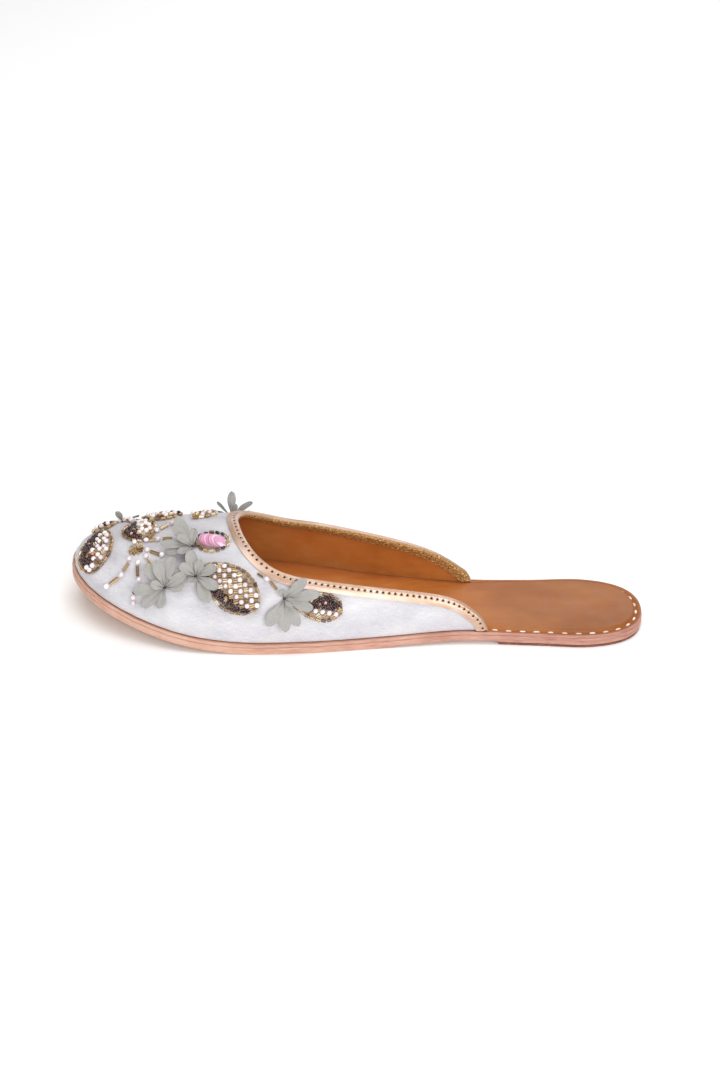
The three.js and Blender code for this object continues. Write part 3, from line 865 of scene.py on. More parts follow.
@dataclass(frozen=True)
class GoldKid(Finish):
    """Kid leather laminated with gold foil: a soft metallic glow, with crazing where it is folded.

    V is the distance in mm from the fold, plus outside and minus inside the shoe.
    """

    title: ClassVar[str] = "gold_foiled_kid_leather"
    constants: ClassVar = {"Metallic": 0.35, "Roughness": 0.38}
    hole_pitch: float = 2.75
    hole_line: float = 3.0
    hole_radius: float = 0.5

    def dress(self, tree: Tree, shader: Node) -> None:
        """Foil crazing outside; deep crinkles inside, on a bronze darkened as painted shade within the
        collar, with painted shade in their troughs and a painted highlight on their crests; and needle
        holes on their line, painted dark as shade.

        Args:
            tree: The material's nodes.
            shader: Its shader.
        """
        flat = self.millimetres(tree)
        sides = add(tree, "SeparateXYZ", {"Vector": flat})
        inside = add(tree, "MapRange", {"From Min": -0.2, "From Max": -0.8, "Value": sides.outputs[1]})
        crinkle = add(tree, "TexNoise", {"Scale": 1.0, "Detail": 5.0, "Roughness": 0.7,
                                         "Vector": self.millimetres(tree, (1 / 1.1, 1 / 0.45, 1))})
        craze = add(tree, "TexNoise", {"Scale": 1.0, "Detail": 3.0,
                                       "Vector": self.millimetres(tree, (1 / 0.5, 1 / 0.4, 1))})
        clouds = add(tree, "TexNoise", {"Scale": 1.0, "Detail": 2.0,
                                        "Vector": self.millimetres(tree, (1 / 17, 1 / 7, 1))})
        outer = add(tree, "ValToRGB", {"stops": [(0.3, "#B18C74"), (0.5, "#C0A08B"), (0.7, "#CCB6AB")],
                                       "Fac": clouds})
        # Inside: the same foil painted darker as shade within the collar, with painted shade in the
        # crinkle troughs and a near white painted highlight on their crests.
        inner = add(tree, "ValToRGB",
                    {"stops": [(0.34, "#5E3A1C"), (0.5, "#A9783F"), (0.58, "#D9AE6C"), (0.68, "#FFE9BE")],
                     "Fac": crinkle})
        foil = add(tree, "Mix", {"data_type": "RGBA", "Factor": inside, 6: outer, 7: inner})
        turn = add(tree, "Math", {"operation": "DIVIDE", 1: self.hole_pitch, 0: sides})
        cell = add(tree, "Math", {"operation": "FRACT", 0: turn})
        centred = add(tree, "Math", {"operation": "SUBTRACT", 1: 0.5, 0: cell})
        across = add(tree, "Math", {"operation": "MULTIPLY", 1: self.hole_pitch, 0: centred})
        depth = add(tree, "Math", {"operation": "SUBTRACT", 1: self.hole_line, 0: sides.outputs[1]})
        spot = add(tree, "CombineXYZ", {0: across, 1: depth})
        away = add(tree, "VectorMath", {"operation": "LENGTH", 0: spot})
        hole_shade = add(tree, "MapRange", {"From Min": self.hole_radius + 0.12,
                                      "From Max": self.hole_radius - 0.15,
                                      "Value": away.outputs["Value"]})
        # The needle holes are painted near black: painted shade inside the holes.
        colour = add(tree, "Mix", {"data_type": "RGBA", 7: linear("#2A1A12"), "Factor": hole_shade,
                                   6: foil.outputs[2]})
        feed(shader, "Base Color", colour.outputs[2])
        dull = add(tree, "MapRange", {"To Min": 0.33, "To Max": 0.85, "Value": hole_shade})
        feed(shader, "Roughness", dull)
        height = add(tree, "Mix", {"Factor": inside, "A": craze, "B": crinkle})
        deep = add(tree, "MapRange", {"To Min": 0.12, "To Max": 1.0, "Value": inside})
        scaled = add(tree, "Math", {"operation": "MULTIPLY", 0: height, 1: deep})
        self.relief(shader, scaled, 0.45)


@dataclass(frozen=True)
class CottonThread(Finish):
    """Waxed cream cotton thread of several plies: its twist shows as slanting ridges."""

    title: ClassVar[str] = "cream_waxed_cotton_thread"
    constants: ClassVar = {"Roughness": 0.7, "Sheen Weight": 0.2}

    def dress(self, tree: Tree, shader: Node) -> None:
        """Slanting bands, with a little dirt from stitch to stitch.

        Args:
            tree: The material's nodes.
            shader: Its shader.
        """
        plies = add(tree, "TexWave", {"Scale": 0.7, "Distortion": 0.6, "bands_direction": "DIAGONAL",
                                      "Vector": self.millimetres(tree)})
        dirt = add(tree, "TexNoise", {"Scale": 0.12, "Detail": 1.0,
                                      "Vector": self.body_millimetres(tree)})
        colour = add(tree, "ValToRGB", {"stops": [(0.3, "#CFAF94"), (0.5, "#EBDCCB"), (0.7, "#F7EFE4")],
                                        "Fac": dirt})
        feed(shader, "Base Color", colour)
        self.relief(shader, plies.outputs["Fac"], 0.08)


@dataclass(frozen=True)
class GlassBead(Finish):
    """Glass beads of one kind. V holds each bead's own number, which picks its tint."""

    title: ClassVar[str] = "glass_bead"
    tints: ClassVar = [(0.0, "#FFFFFF"), (1.0, "#FFFFFF")]

    def dress(self, tree: Tree, shader: Node) -> None:
        """Each bead takes its colour from its own number."""
        feed(shader, "Base Color", self.tinted(tree))

    def tinted(self, tree: Tree) -> Socket:
        """The bead's tint, looked up by its own number."""
        uv = add(tree, "SeparateXYZ", {"Vector": self.millimetres(tree)})
        return add(tree, "ValToRGB", {"stops": list(self.tints), "Fac": uv.outputs[1]}).outputs[0]


@dataclass(frozen=True)
class Pearl(GlassBead):
    """Round imitation pearl: a nacre coat on glass, creamy with pink and grey ones among them."""

    title: ClassVar[str] = "nacre_coated_pearl_bead"
    constants: ClassVar = {
        "Roughness": 0.24, "Coat Weight": 0.7, "Coat Roughness": 0.08, "Sheen Weight": 0.1,
        "Specular IOR Level": 0.6,
    }
    tints: ClassVar = [(0.0, "#D9C6C4"), (0.35, "#EBDDDF"), (0.7, "#F6EEEC"), (1.0, "#DDCBD3")]


@dataclass(frozen=True)
class SeedBead(GlassBead):
    """Dark burgundy lustre seed bead: nearly black glass that glints."""

    title: ClassVar[str] = "burgundy_lustre_seed_bead"
    constants: ClassVar = {"Roughness": 0.14, "Coat Weight": 0.3, "Coat Roughness": 0.05,
                           "Specular IOR Level": 0.6}
    tints: ClassVar = [(0.0, "#1A0A10"), (0.45, "#2C1219"), (0.8, "#45232B"), (1.0, "#5A3A2A")]


@dataclass(frozen=True)
class BlushBead(GlassBead):
    """The odd salmon pink bead among the dark ones."""

    title: ClassVar[str] = "salmon_glass_bead"
    constants: ClassVar = {"Roughness": 0.2, "Coat Weight": 0.5}
    tints: ClassVar = [(0.0, "#D88F78"), (1.0, "#E9A794")]


@dataclass(frozen=True)
class Bugle(GlassBead):
    """Silver lined gold bugle bead: amber glass tube whose bore shows as a dark line.

    U is the turn round the tube, with 0.5 on its outer side.
    """

    title: ClassVar[str] = "silver_lined_gold_bugle_bead"
    constants: ClassVar = {"Metallic": 0.35, "Roughness": 0.25, "Coat Weight": 0.8,
                           "Coat Roughness": 0.05}
    tints: ClassVar = [(0.0, "#6B4C2C"), (0.35, "#A17C4A"), (0.7, "#CFAE7C"), (1.0, "#F3E3C4")]

    def dress(self, tree: Tree, shader: Node) -> None:
        """The tint, darkened in a narrow line along the middle of the outer side.

        Args:
            tree: The material's nodes.
            shader: Its shader.
        """
        uv = add(tree, "SeparateXYZ", {"Vector": self.millimetres(tree)})
        off = add(tree, "Math", {"operation": "SUBTRACT", 1: 0.5, 0: uv})
        away = add(tree, "Math", {"operation": "ABSOLUTE", 0: off})
        bore = add(tree, "MapRange", {"From Min": 0.055, "From Max": 0.02, "Value": away})
        colour = add(tree, "Mix", {"data_type": "RGBA", 7: linear("#4A3216"), "Factor": bore,
                                   6: self.tinted(tree)})
        feed(shader, "Base Color", colour.outputs[2])


@dataclass(frozen=True)
class Sequin(GlassBead):
    """Translucent pink film sequin: clear plastic disc that glints along its rim."""

    title: ClassVar[str] = "translucent_pink_sequin"
    constants: ClassVar = {"Roughness": 0.12, "Coat Weight": 1.0, "Coat Roughness": 0.03,
                           "Subsurface Weight": 0.2, "Subsurface Scale": 0.001}
    tints: ClassVar = [(0.0, "#D690B2"), (0.5, "#E8B2CC"), (1.0, "#FADFEB")]


@dataclass(frozen=True)
class Organza(Finish):
    """Grey sage organza, cut hot so that its rim is sealed: matt, with a fine weave.

    U runs along the petal and V across it, 0 on its middle fold.
    """

    # Organza has about 0.25 mm between threads. It is drawn at 0.4 mm, so that it shows.
    thread: float = 0.4
    title: ClassVar[str] = "grey_sage_organza"
    constants: ClassVar = {"Roughness": 0.7, "Sheen Weight": 0.2, "Sheen Roughness": 0.4,
                           "Specular IOR Level": 0.3}

    def dress(self, tree: Tree, shader: Node) -> None:
        """Painted shade along the middle fold and at the root, where the petals meet, paler towards the
        rim, with slubs both ways.

        Args:
            tree: The material's nodes.
            shader: Its shader.
        """
        flat = self.millimetres(tree)
        uv = add(tree, "SeparateXYZ", {"Vector": flat})
        away = add(tree, "Math", {"operation": "ABSOLUTE", 0: uv.outputs[1]})
        fold = add(tree, "MapRange", {"From Min": 0.0, "From Max": 0.55, "Value": away})
        root = add(tree, "MapRange", {"From Min": 0.0, "From Max": 4.0, "Value": uv})
        lift = add(tree, "Math", {"operation": "MAXIMUM", 0: fold, 1: root})
        slubs = add(tree, "TexNoise", {"Scale": 1.0, "Detail": 3.0,
                                       "Vector": self.millimetres(tree, (1 / 2.4, 1 / self.thread, 1))})
        cloth = add(tree, "ValToRGB", {"stops": [(0.3, "#96948F"), (0.5, "#9E9C98"), (0.7, "#A7A49F")],
                                       "Fac": slubs})
        # Painted shade: the colour turns dark grey along the middle fold and near the root.
        colour = add(tree, "Mix", {"data_type": "RGBA", 6: linear("#737570"), "Factor": lift, 7: cloth})
        feed(shader, "Base Color", colour.outputs[2])
        self.relief(shader, slubs, 0.06)


@dataclass(frozen=True)
class Underlay(Finish):
    """Fawn cotton twill backing that shows in the gaps between the beads."""

    title: ClassVar[str] = "fawn_cotton_bead_backing"
    constants: ClassVar = {"Roughness": 0.85}

    def dress(self, tree: Tree, shader: Node) -> None:
        """Threads and their shadows, about half a millimetre apart.

        Args:
            tree: The material's nodes.
            shader: Its shader.
        """
        weave = add(tree, "TexNoise", {"Scale": 2.0, "Detail": 2.0,
                                       "Vector": self.body_millimetres(tree)})
        colour = add(tree, "ValToRGB", {"stops": [(0.35, "#8C786A"), (0.5, "#B5A394"), (0.7, "#CFC1B4")],
                                        "Fac": weave})
        feed(shader, "Base Color", colour)
        self.relief(shader, weave, 0.1)


@dataclass(frozen=True)
class StudioPaper(Finish):
    """White seamless backdrop paper: matt, with a tooth too fine to see but for its softness."""

    title: ClassVar[str] = "white_backdrop_paper"
    constants: ClassVar = {"Roughness": 0.9, "Specular IOR Level": 0.1, "Base Color": linear("#FFFFFF")}


class Stock:
    """The workshop's finishes, each made once."""

    def __init__(self) -> None:
        """Builds every finish."""
        self.satin = Satin().build()
        self.insole = SoftLeather().build()
        self.lining = LiningLeather().build()
        self.hide = BuffHide().build()
        self.cut_edge = CutEdge().build()
        self.waxed = WaxedEdge().build()
        self.gold_kid = GoldKid().build()
        self.thread = CottonThread().build()
        self.pearl = Pearl().build()
        self.seed = SeedBead().build()
        self.blush = BlushBead().build()
        self.bugle = Bugle().build()
        self.sequin = Sequin().build()
        self.organza = Organza().build()
        self.underlay = Underlay().build()
        self.paper = StudioPaper().build()


# ---- Sole ------------


class SolePart(Enum):
    """The three layers of the sole, named as their CAD nodes are."""

    OUTSOLE = "outsole"
    LIFT = "heel_lift"
    INSOLE = "insole"


@dataclass
class Sole:
    """Outsole, heel lift and insole, with the thread that joins them at the edge."""

    last: Last
    stock: Stock
    lift_length: float = 66.0
    lift_inset: float = 0.4
    waist_skive: float = 0.4
    skive_front: float = 113.0
    skive_edge: float = 0.8
    insole_inset: float = 0.2
    rim_round: float = 0.28
    # The insole is glued down with no gap. Beyond this x its rim lies outside the upper.
    glue: float = 0.05
    ledge_from: float = 76.0
    ledge_width: float = 1.5
    groove_inset: float = 2.8
    inner_groove_inset: float = 5.0
    groove_depth: float = 0.6
    groove_width: float = 0.75
    padding: float = 1.15
    pillow: float = 0.3
    stitch_pitch: float = 6.25
    stitch_length: float = 2.7
    stitch_width: float = 1.15
    stitch_thick: float = 0.84
    stations: int = 300
    across: int = 15
    round_rows: int = 5
    # Distances from the rim of the rows that follow the outline, closest round the grooves.
    near_rows: ClassVar[Array] = np.array(
        [12.5, 10, 8, 7, *np.linspace(6.5, 3.5, 11), 3.15, 2.8, 2.45, 2.1, 1.5, 0.9]
    )

    def underside(self, x: Array) -> Array:
        """The outsole's lower face, cut thinner under the waist."""
        skive = np.minimum(x - self.lift_length, self.skive_front - x) / self.skive_edge
        return self.last.sole_line(x) + self.waist_skive * np.clip(skive, 0, 1)

    def flank(
        self,
        side: float,
        angles: Array,
        inset: float,
        bottom: Height,
        top: Height,
        hollow: Relief,
        walls: int,
    ) -> Array:
        """One side of a layer: in from its rim on top, down its edge, and in again below.

        The edge is a straight wall between two quarter rounds. The rows near the rim follow the
        outline at true distances from it, so that a groove can run there.

        Args:
            side: 1 on the left, -1 on the right.
            angles: Stations round the outline's angle.
            inset: How far the edge lies inside the sole's outline.
            bottom: Height of the lower face at x.
            top: Height of the upper face at x.
            hollow: Added to the upper face, from x and the distance from the rim.
            walls: Rows down the straight wall.

        Returns:
            Points, shape (stations, columns, 3), from inside on top to inside below.
        """
        r = self.rim_round
        turn = np.linspace(0, np.pi / 2, self.round_rows)
        gap = np.concatenate([self.near_rows, r * (1 - np.sin(turn))])
        rise = np.concatenate([0 * self.near_rows, -r * (1 - np.cos(turn))])
        spot = self.last.edge(side, angles[:, None], inset + gap[None])
        x = spot[..., 0]
        over = np.concatenate([spot, (top(x) + rise + hollow(x, inset + gap))[..., None]], -1)
        under = np.concatenate([spot, (bottom(x) - rise)[..., None]], -1)[:, ::-1]
        share = np.linspace(0, 1, walls + 2)[None, 1:-1]
        x = self.last.edge(side, angles, inset)[:, :1]
        stray = self.ragged(x, side, share)
        wall = self.last.edge(side, angles[:, None], inset + stray)
        z = top(x) - r + (bottom(x) - top(x) + 2 * r) * share
        return np.concatenate([over, np.concatenate([wall, z[..., None]], -1), under], 1)

    def plate(
        self,
        angles: Array,
        inset: float,
        bottom: Height,
        top: Height,
        hollow: Relief = lambda x, inset: 0 * x,
        walls: int = 5,
        stained_ledge: bool = False,
    ) -> Skin:
        """A layer of the sole: at each station a ring runs across the top, down and back below.

        Args:
            angles: Stations round the outline's angle.
            inset: How far the edge lies inside the sole's outline.
            bottom: Height of the lower face at x.
            top: Height of the upper face at x.
            hollow: Added to the upper face, from x and the distance from the rim.
            walls: Rows down the edge's straight wall.
            stained_ledge: Whether the rim of the upper face is stained like the edge, where it
                lies outside the upper.

        Returns:
            The closed layer. Finish 0 is its edge, 1 its upper face and 2 its lower one.
        """
        left, right = [self.flank(s, angles, inset, bottom, top, hollow, walls) for s in (1.0, -1.0)]
        share = np.linspace(0, 1, self.across)[None, :, None]
        over = left[:, :1] + (right[:, :1] - left[:, :1]) * share
        under = right[:, -1:] + (left[:, -1:] - right[:, -1:]) * share
        ring = np.concatenate([over, right[:, 1:], under[:, 1:], left[:, ::-1][:, 1:]], 1)
        near, edge_faces = len(self.near_rows), 2 * self.round_rows + walls - 1
        flank = np.concatenate([np.full(near, 1), np.zeros(edge_faces, int), np.full(near, 2)])
        flat = self.across - 1
        finish = np.concatenate([np.full(flat, 1), flank, np.full(flat, 2), flank[::-1]])
        rim = np.concatenate([self.near_rows <= self.ledge_width, np.zeros(len(flank) - near, bool)])
        rim = np.concatenate([np.zeros(flat, bool), rim, np.zeros(flat, bool), rim[::-1]])
        beyond = self.last.edge(1.0, angles, 0.0)[:-1, 0] > self.ledge_from
        finish = np.where(stained_ledge & rim[None] & beyond[:, None], 0, finish[None])
        travel = running_length(self.last.edge(1.0, angles, 0.0))
        down = running_length(ring[len(angles) // 2])
        uv = together(travel[:, None], down[None, :])
        layer = Skin.grid(ring, uv, finish)
        loop, middle = ring[-1, :-1], self.across // 2
        pairs = np.arange(len(loop) // 2 + 1)[:, None] * np.array([-1, 1]) + middle
        front = loop[pairs % len(loop)]
        return Skin.join([layer, Skin.grid(front, front[..., 1:], 0)])

    def ragged(self, x: Array, side: float, level: float) -> Array:
        """How far the knife strayed into the edge: slow waves, out of step at each level."""
        waves = np.sin(x / 7.3 + 2.1 * side + 1.3 * level) + 0.6 * np.sin(x / 2.9 + 4.0 * level * side)
        return 0.05 + 0.05 * waves

    def hollow(self, x: Array, inset: Array) -> Array:
        """The insole's relief: a groove along the stitches, and padding that ends inside it.

        Args:
            x: Places along the sole.
            inset: Distances from its rim.

        Returns:
            Heights over the flat insole.
        """
        off = inset - self.groove_at(x)
        groove = -self.groove_depth * np.exp(-((off / self.groove_width) ** 2))
        return groove + self.padding * smooth(0.35, 1.35, off) + self.pillow * smooth(1.0, 7.0, off)

    def groove_at(self, x: Array) -> Array:
        """Distance of the stitch line from the edge: it steps in to clear the upper's wall."""
        shift = smooth(62.0, 84.0, x)
        return self.groove_inset + (self.inner_groove_inset - self.groove_inset) * shift

    def build(self) -> None:
        """Makes the layers and the stitches."""
        last, stock = self.last, self.stock
        angles = np.linspace(0, np.pi, self.stations)
        steep = np.array([self.lift_length, self.lift_length + self.skive_edge,
                          self.skive_front - self.skive_edge, self.skive_front])
        stepped = np.sort(np.concatenate([angles, np.arccos(1 - 2 * steep / last.length)]))
        outsole = self.plate(stepped, 0.0, self.underside, last.outsole_top)
        outsole.piece(last, "outsole_hide", [stock.cut_edge, stock.hide, stock.hide], "sole_leather",
                      [SolePart.OUTSOLE.value])
        heel = np.linspace(0, np.arccos(1 - 2 * self.lift_length / last.length), self.stations // 3)
        lift = self.plate(
            heel, self.lift_inset, lambda x: 0 * x, lambda x: 0 * x + last.heel_step - last.fit_gap,
            walls=2,
        )
        lift.piece(last, "heel_lift_hide", [stock.waxed, stock.hide, stock.hide], "sole_leather",
                   [SolePart.LIFT.value])
        insole = self.plate(
            angles, self.insole_inset, lambda x: last.outsole_top(x) + self.glue, last.insole_top,
            self.hollow, walls=3, stained_ledge=True,
        )
        insole.piece(last, "insole_leather", [stock.cut_edge, stock.insole, stock.hide], "insole_leather",
                     [SolePart.INSOLE.value])
        self.stitches().piece(last, "insole_stitches", [stock.thread], "insole_leather")

    def stitches(self) -> Skin:
        """Running stitches: short flat capsules a pitch apart along the groove, both sides.

        Returns:
            All the stitches in one skin.
        """
        last = self.last
        sides = []
        for side in (1.0, -1.0):
            angles = np.linspace(0.0, np.pi, 1500)
            x = last.edge(side, angles, 0.0)[:, 0]
            line = last.edge(side, angles, self.groove_at(x))
            travel = running_length(line)
            first = 0.5 * self.stitch_pitch
            marks = np.arange(first, travel[-1] - 2.0, self.stitch_pitch)
            spots = at_distance(line, travel, marks)
            ahead = at_distance(line, travel, marks + 0.6)
            height = last.insole_top(spots[:, 0]) - self.groove_depth + 0.14
            place = np.concatenate([spots, height[:, None]], -1)
            slope = (last.insole_top(ahead[:, 0]) - last.insole_top(spots[:, 0]))[:, None]
            run = unit(np.concatenate([ahead - spots, slope], -1))
            wide = unit(np.cross(np.array([0, 0, 1.0]), run))
            sides.append((place, np.stack([run, wide, np.cross(run, wide)], -1)))
        places = np.concatenate([s[0] for s in sides])
        turns = np.concatenate([s[1] for s in sides])
        chance = np.random.default_rng(7)
        size = np.array([self.stitch_length, self.stitch_width, self.stitch_thick]) / 2
        sizes = size * chance.uniform(0.88, 1.1, (len(places), 3))
        return Skin.copies(capsule(10, 8), places, turns, sizes, chance.random(len(places)))


def capsule(rings: int, sides: int, power: float = 0.6) -> Skin:
    """A rounded barrel of unit half length along x: its radius is sin(turn) to a power.

    Args:
        rings: Rings from end to end.
        sides: Corners round it.
        power: 1 gives a ball, less a blunter barrel.

    Returns:
        The closed shape, with U the turn round it.
    """
    turn = np.linspace(0, np.pi, rings)[:, None]
    spin = np.linspace(0, 2 * np.pi, sides + 1)[None]
    radius = np.sin(turn) ** power
    points = together(-np.cos(turn), radius * np.sin(spin), -radius * np.cos(spin))
    uv = together(spin / (2 * np.pi), 0 * turn)
    return Skin.grid(points, uv)


# ---- Upper ------------


@dataclass
class Crease:
    """A soft fold in the satin: places along it, how deep, how wide, and how it fades."""

    path: Sequence[tuple[float, float]]
    depth: float
    width: float

    def height(self, last: Last, points: Array) -> Array:
        """Depth times (1 - 0.8 d^2) e^(-d^2), with d the distance over the width.

        Args:
            last: The form that it lies on.
            points: Points of the form.

        Returns:
            Height of the fold at each.
        """
        corners = last.form(*[np.array(v) for v in zip(*[(a, np.radians(c)) for a, c in self.path])])
        d = distance_to_path(points, corners) / self.width
        return self.depth * (1 - 0.8 * d**2) * np.exp(-(d**2))


@dataclass
class Vamp:
    """The upper: a satin skin glued over a leather lining, open at collar, heel and below."""

    last: Last
    stock: Stock
    satin_thick: float = 0.9
    wall: float = 1.8
    glue: float = 0.15
    tip_share: float = 0.9985
    tuck: float = 0.35
    # The binding reaches this far down. The satin ends under it, this far from the collar.
    binding_reach: float = 5.5
    under_binding: float = 1.3
    under_binding_share: float = 0.4
    lining_slack: float = 0.25
    along: int = 520
    up: int = 72
    # Depth below zero is a trough, above zero a ridge. Places are around and climb in degrees.
    creases: ClassVar = [
        Crease([(0.585, 34), (0.575, 24), (0.56, 10)], -0.75, 4.2),
        Crease([(0.60, 28), (0.60, 16)], 0.35, 3.0),
        Crease([(0.70, 33), (0.735, 30), (0.78, 22)], -0.3, 3.2),
        Crease([(0.52, 22), (0.50, 12)], -0.25, 5.0),
        Crease([(0.20, 34), (0.17, 20), (0.13, 10)], 0.35, 4.5),
        Crease([(0.27, 30), (0.26, 12)], -0.3, 5.0),
        Crease([(0.35, 14), (0.39, 6)], -0.25, 4.0),
        Crease([(-0.60, 33), (-0.585, 20), (-0.57, 9)], -0.55, 4.5),
        Crease([(-0.68, 30), (-0.70, 14)], 0.3, 4.0),
        Crease([(-0.05, 16), (-0.06, 6)], -0.3, 3.0),
        Crease([(0.02, 14), (0.03, 5)], -0.25, 2.6),
    ]

    def relief(self, around: Array, climb: Array, points: Array) -> Array:
        """The satin's own shape: listed creases, slow waves, and puckers over the sole.

        Puckers are a wave along the sole, from where the cloth was lasted in small pleats round
        the toe, and die out up the section.

        Args:
            around: Places round the form.
            climb: Places up it, in radians.
            points: The points there.

        Returns:
            Heights over the form.
        """
        made = sum(crease.height(self.last, points) for crease in self.creases)
        x, y = points[..., 0], points[..., 1]
        slow = 0.12 * np.sin(x / 9.5 + y / 13.0) * np.sin(y / 8.0 - x / 23.0 + 1.0)
        low = np.exp(-np.degrees(climb) / 7.0) * smooth(0.75, 0.25, np.abs(around))
        pleats = 0.22 * np.sin(around * 118.0 + 2.0 * np.sin(around * 17.0)) * low
        return made + slow + pleats

    def build(self) -> None:
        """Makes the satin and the lining."""
        last = self.last
        around = np.linspace(self.tip_share, -self.tip_share, self.along)
        line = last.collar(around)
        reach = self.binding_reach
        limit = last.nearest(line.here + reach * line.down, line.around, line.climb)
        free = np.minimum(np.linalg.norm(line.here - last.form(*limit), axis=-1), reach)
        cover = np.minimum(self.under_binding, self.under_binding_share * free)
        slope = np.abs((last.slopes(around, line.climb)[1] * line.down).sum(-1))
        top = line.climb - cover / slope
        share = np.linspace(0, 1, self.up) ** 1.15
        climb = last.least_climb + (top - last.least_climb)[:, None] * share
        across = np.broadcast_to(around[:, None], climb.shape)
        base = last.form(across, climb)
        height = running_length(base.transpose(1, 0, 2)).T
        tuck = -self.tuck * np.exp(-height / 0.8)
        fade = smooth(0, 2.5, height) * smooth(0, 1, (1 - share)[None] * 8)
        shape = self.relief(across, climb, base) * (0.25 + 0.75 * fade) + tuck
        travel = running_length(last.form(around, np.full_like(around, 0.4)))
        uv = together(travel[:, None], height)
        outer = last.offset(across, climb, shape)
        satin = Skin.shell(outer, last.offset(across, climb, shape - self.satin_thick), uv)
        satin.piece(last, "upper_satin", [self.stock.satin], "satin", ["upper"])
        slack = self.lining_slack * shape
        lining = Skin.shell(
            last.offset(across, climb, slack - self.satin_thick - self.glue),
            last.offset(across, climb, slack - self.wall - 0.05), uv,
        )
        lining.piece(last, "upper_lining", [self.stock.lining], "insole_leather")


# ---- Collar binding ------------


@dataclass
class CollarBinding:
    """A strip of gold kid folded over the collar and stitched through, with its needle holes."""

    last: Last
    stock: Stock
    tip_share: float = 0.9985
    depth: float = 5.5
    leather: float = 0.6
    outside: float = 0.78
    inside: float = -2.5
    fold_radius: float = 1.64
    step: float = 0.42
    hole_pitch: float = GoldKid.hole_pitch
    hole_line: float = GoldKid.hole_line
    hole_radius: float = GoldKid.hole_radius
    hole_depth: float = 0.42
    thread_pull: float = 0.14
    seam_line: float = -3.2
    seam_depth: float = 0.22
    crinkle: float = 0.09
    rows_down: int = 17

    def legs(self, line: CollarLine) -> tuple[Array, Array]:
        """How far the strip reaches down outside and inside, shorter where the sole is near.

        Args:
            line: The collar's places.

        Returns:
            The reach at each place, outside and then inside.
        """
        last = self.last
        limit = last.nearest(line.here + self.depth * line.down, line.around, line.climb)
        free = np.linalg.norm(line.here - last.form(*limit), axis=-1)
        outer = 0.92 * np.minimum(free, self.depth)
        trials = np.linspace(1.0, 0.35, 24)
        feet = last.below(line, outer[:, None] * trials, np.full((len(outer), 24), self.inside))
        clear = feet[..., 2] - last.seat(feet[..., 0]) > 0
        first = np.where(clear.any(1), clear.argmax(1), 23)
        return outer, outer * trials[first]

    def build(self) -> None:
        """Carries the strip's folded section along the collar and sinks the needle holes."""
        last = self.last
        dense = np.linspace(self.tip_share, -self.tip_share, 1200)
        travel = running_length(last.collar(dense).here)
        count = int(travel[-1] / self.step)
        around = np.interp(np.linspace(0, travel[-1], count), travel, dense)
        line = last.collar(around)
        along = running_length(line.here)
        out_leg, in_leg = self.legs(line)
        radius = np.minimum(self.fold_radius, 0.45 * in_leg)[:, None]
        turn = np.linspace(0, np.pi, 11)[None, 1:-1]
        middle = (self.outside + self.inside) / 2
        half = (self.outside - self.inside) / 2
        down = np.linspace(1, 0, self.rows_down)[None]
        outer_depth = radius + (out_leg[:, None] - radius) * down
        inner_depth = radius + (in_leg[:, None] - radius) * down[:, ::-1]
        fold_depth = radius * (1 - np.sin(turn))
        fold_out = middle + half * np.cos(turn) + 0 * radius
        depth = np.concatenate([outer_depth, fold_depth, inner_depth], 1)
        outer_out = self.outside + 0 * outer_depth
        inner_out = self.inside + 0 * inner_depth
        out = np.concatenate([outer_out, fold_out, inner_out], 1)
        arc = radius * np.pi / 2
        signed = np.concatenate(
            [outer_depth - radius + arc, arc * np.cos(turn), -(inner_depth - radius + arc)], 1
        )
        out = out + self.relief(along[:, None], signed)
        face = last.below(line, depth, out)
        hidden_out = np.clip(out, self.inside + self.leather, self.outside - self.leather)
        hidden_depth = np.minimum(np.maximum(depth, self.leather), np.maximum(out_leg, in_leg)[:, None])
        back = last.below(line, hidden_depth, hidden_out)
        uv = together(along[:, None], signed)
        strip = Skin.shell(face, back, uv)
        strip.piece(last, "collar_binding_kid", [self.stock.gold_kid], "gold_leather", ["collar_binding"])

    def relief(self, along: Array, signed: Array) -> Array:
        """Needle holes, the pull of the thread between them, and crinkles on the inner side.

        A hole is a bell of its radius, sunk inwards. Outside the shoe, inwards is down in out,
        and inside the shoe it is up. Crinkles are three crossing waves.

        Args:
            along: Distances along the collar.
            signed: Distances from the fold, minus inside.

        Returns:
            Heights over the smooth strip.
        """
        beside = (along / self.hole_pitch) % 1 - 0.5
        away = np.hypot(beside * self.hole_pitch, signed - self.hole_line) / self.hole_radius
        holes = -self.hole_depth * np.exp(-(away**4))
        pull = -self.thread_pull * np.exp(-(((signed - self.hole_line) / 0.9) ** 2))
        seam = self.seam_depth * np.exp(-(((signed - self.seam_line) / 0.35) ** 2))
        seam = seam * (0.6 + 0.4 * np.cos(2 * np.pi * along / self.hole_pitch))
        crinkle = (
            np.sin(along * 2.9 + 1.7 * np.sin(signed * 1.9)) * np.sin(signed * 2.3 + along * 0.7)
            + 0.7 * np.sin(along * 1.3 - signed * 3.1)
        )
        inside = smooth(-1.2, -3.0, signed)
        return holes + pull + inside * (self.crinkle * crinkle) - seam


# ---- Studio ------------


@dataclass
class SoftBox:
    """One studio lamp: where it stands, what it faces, its size and its power."""

    name: str
    place: tuple[float, float, float]
    aim: tuple[float, float, float]
    size: tuple[float, float]
    watts: float
    colour: str = "#FFFFFF"

    def build(self) -> None:
        """Hangs the lamp, pointing along its line of sight."""
        lamp = bpy.data.lights.new(self.name, "AREA")
        lamp.shape, lamp.size, lamp.size_y = "RECTANGLE", *self.size
        lamp.energy, lamp.color = self.watts, linear(self.colour)[:3]
        holder = bpy.data.objects.new(self.name, lamp)
        holder.location = self.place
        sight = Vector(self.aim) - Vector(self.place)
        holder.rotation_euler = sight.to_track_quat("-Z", "Y").to_euler()
        bpy.context.scene.collection.objects.link(holder)


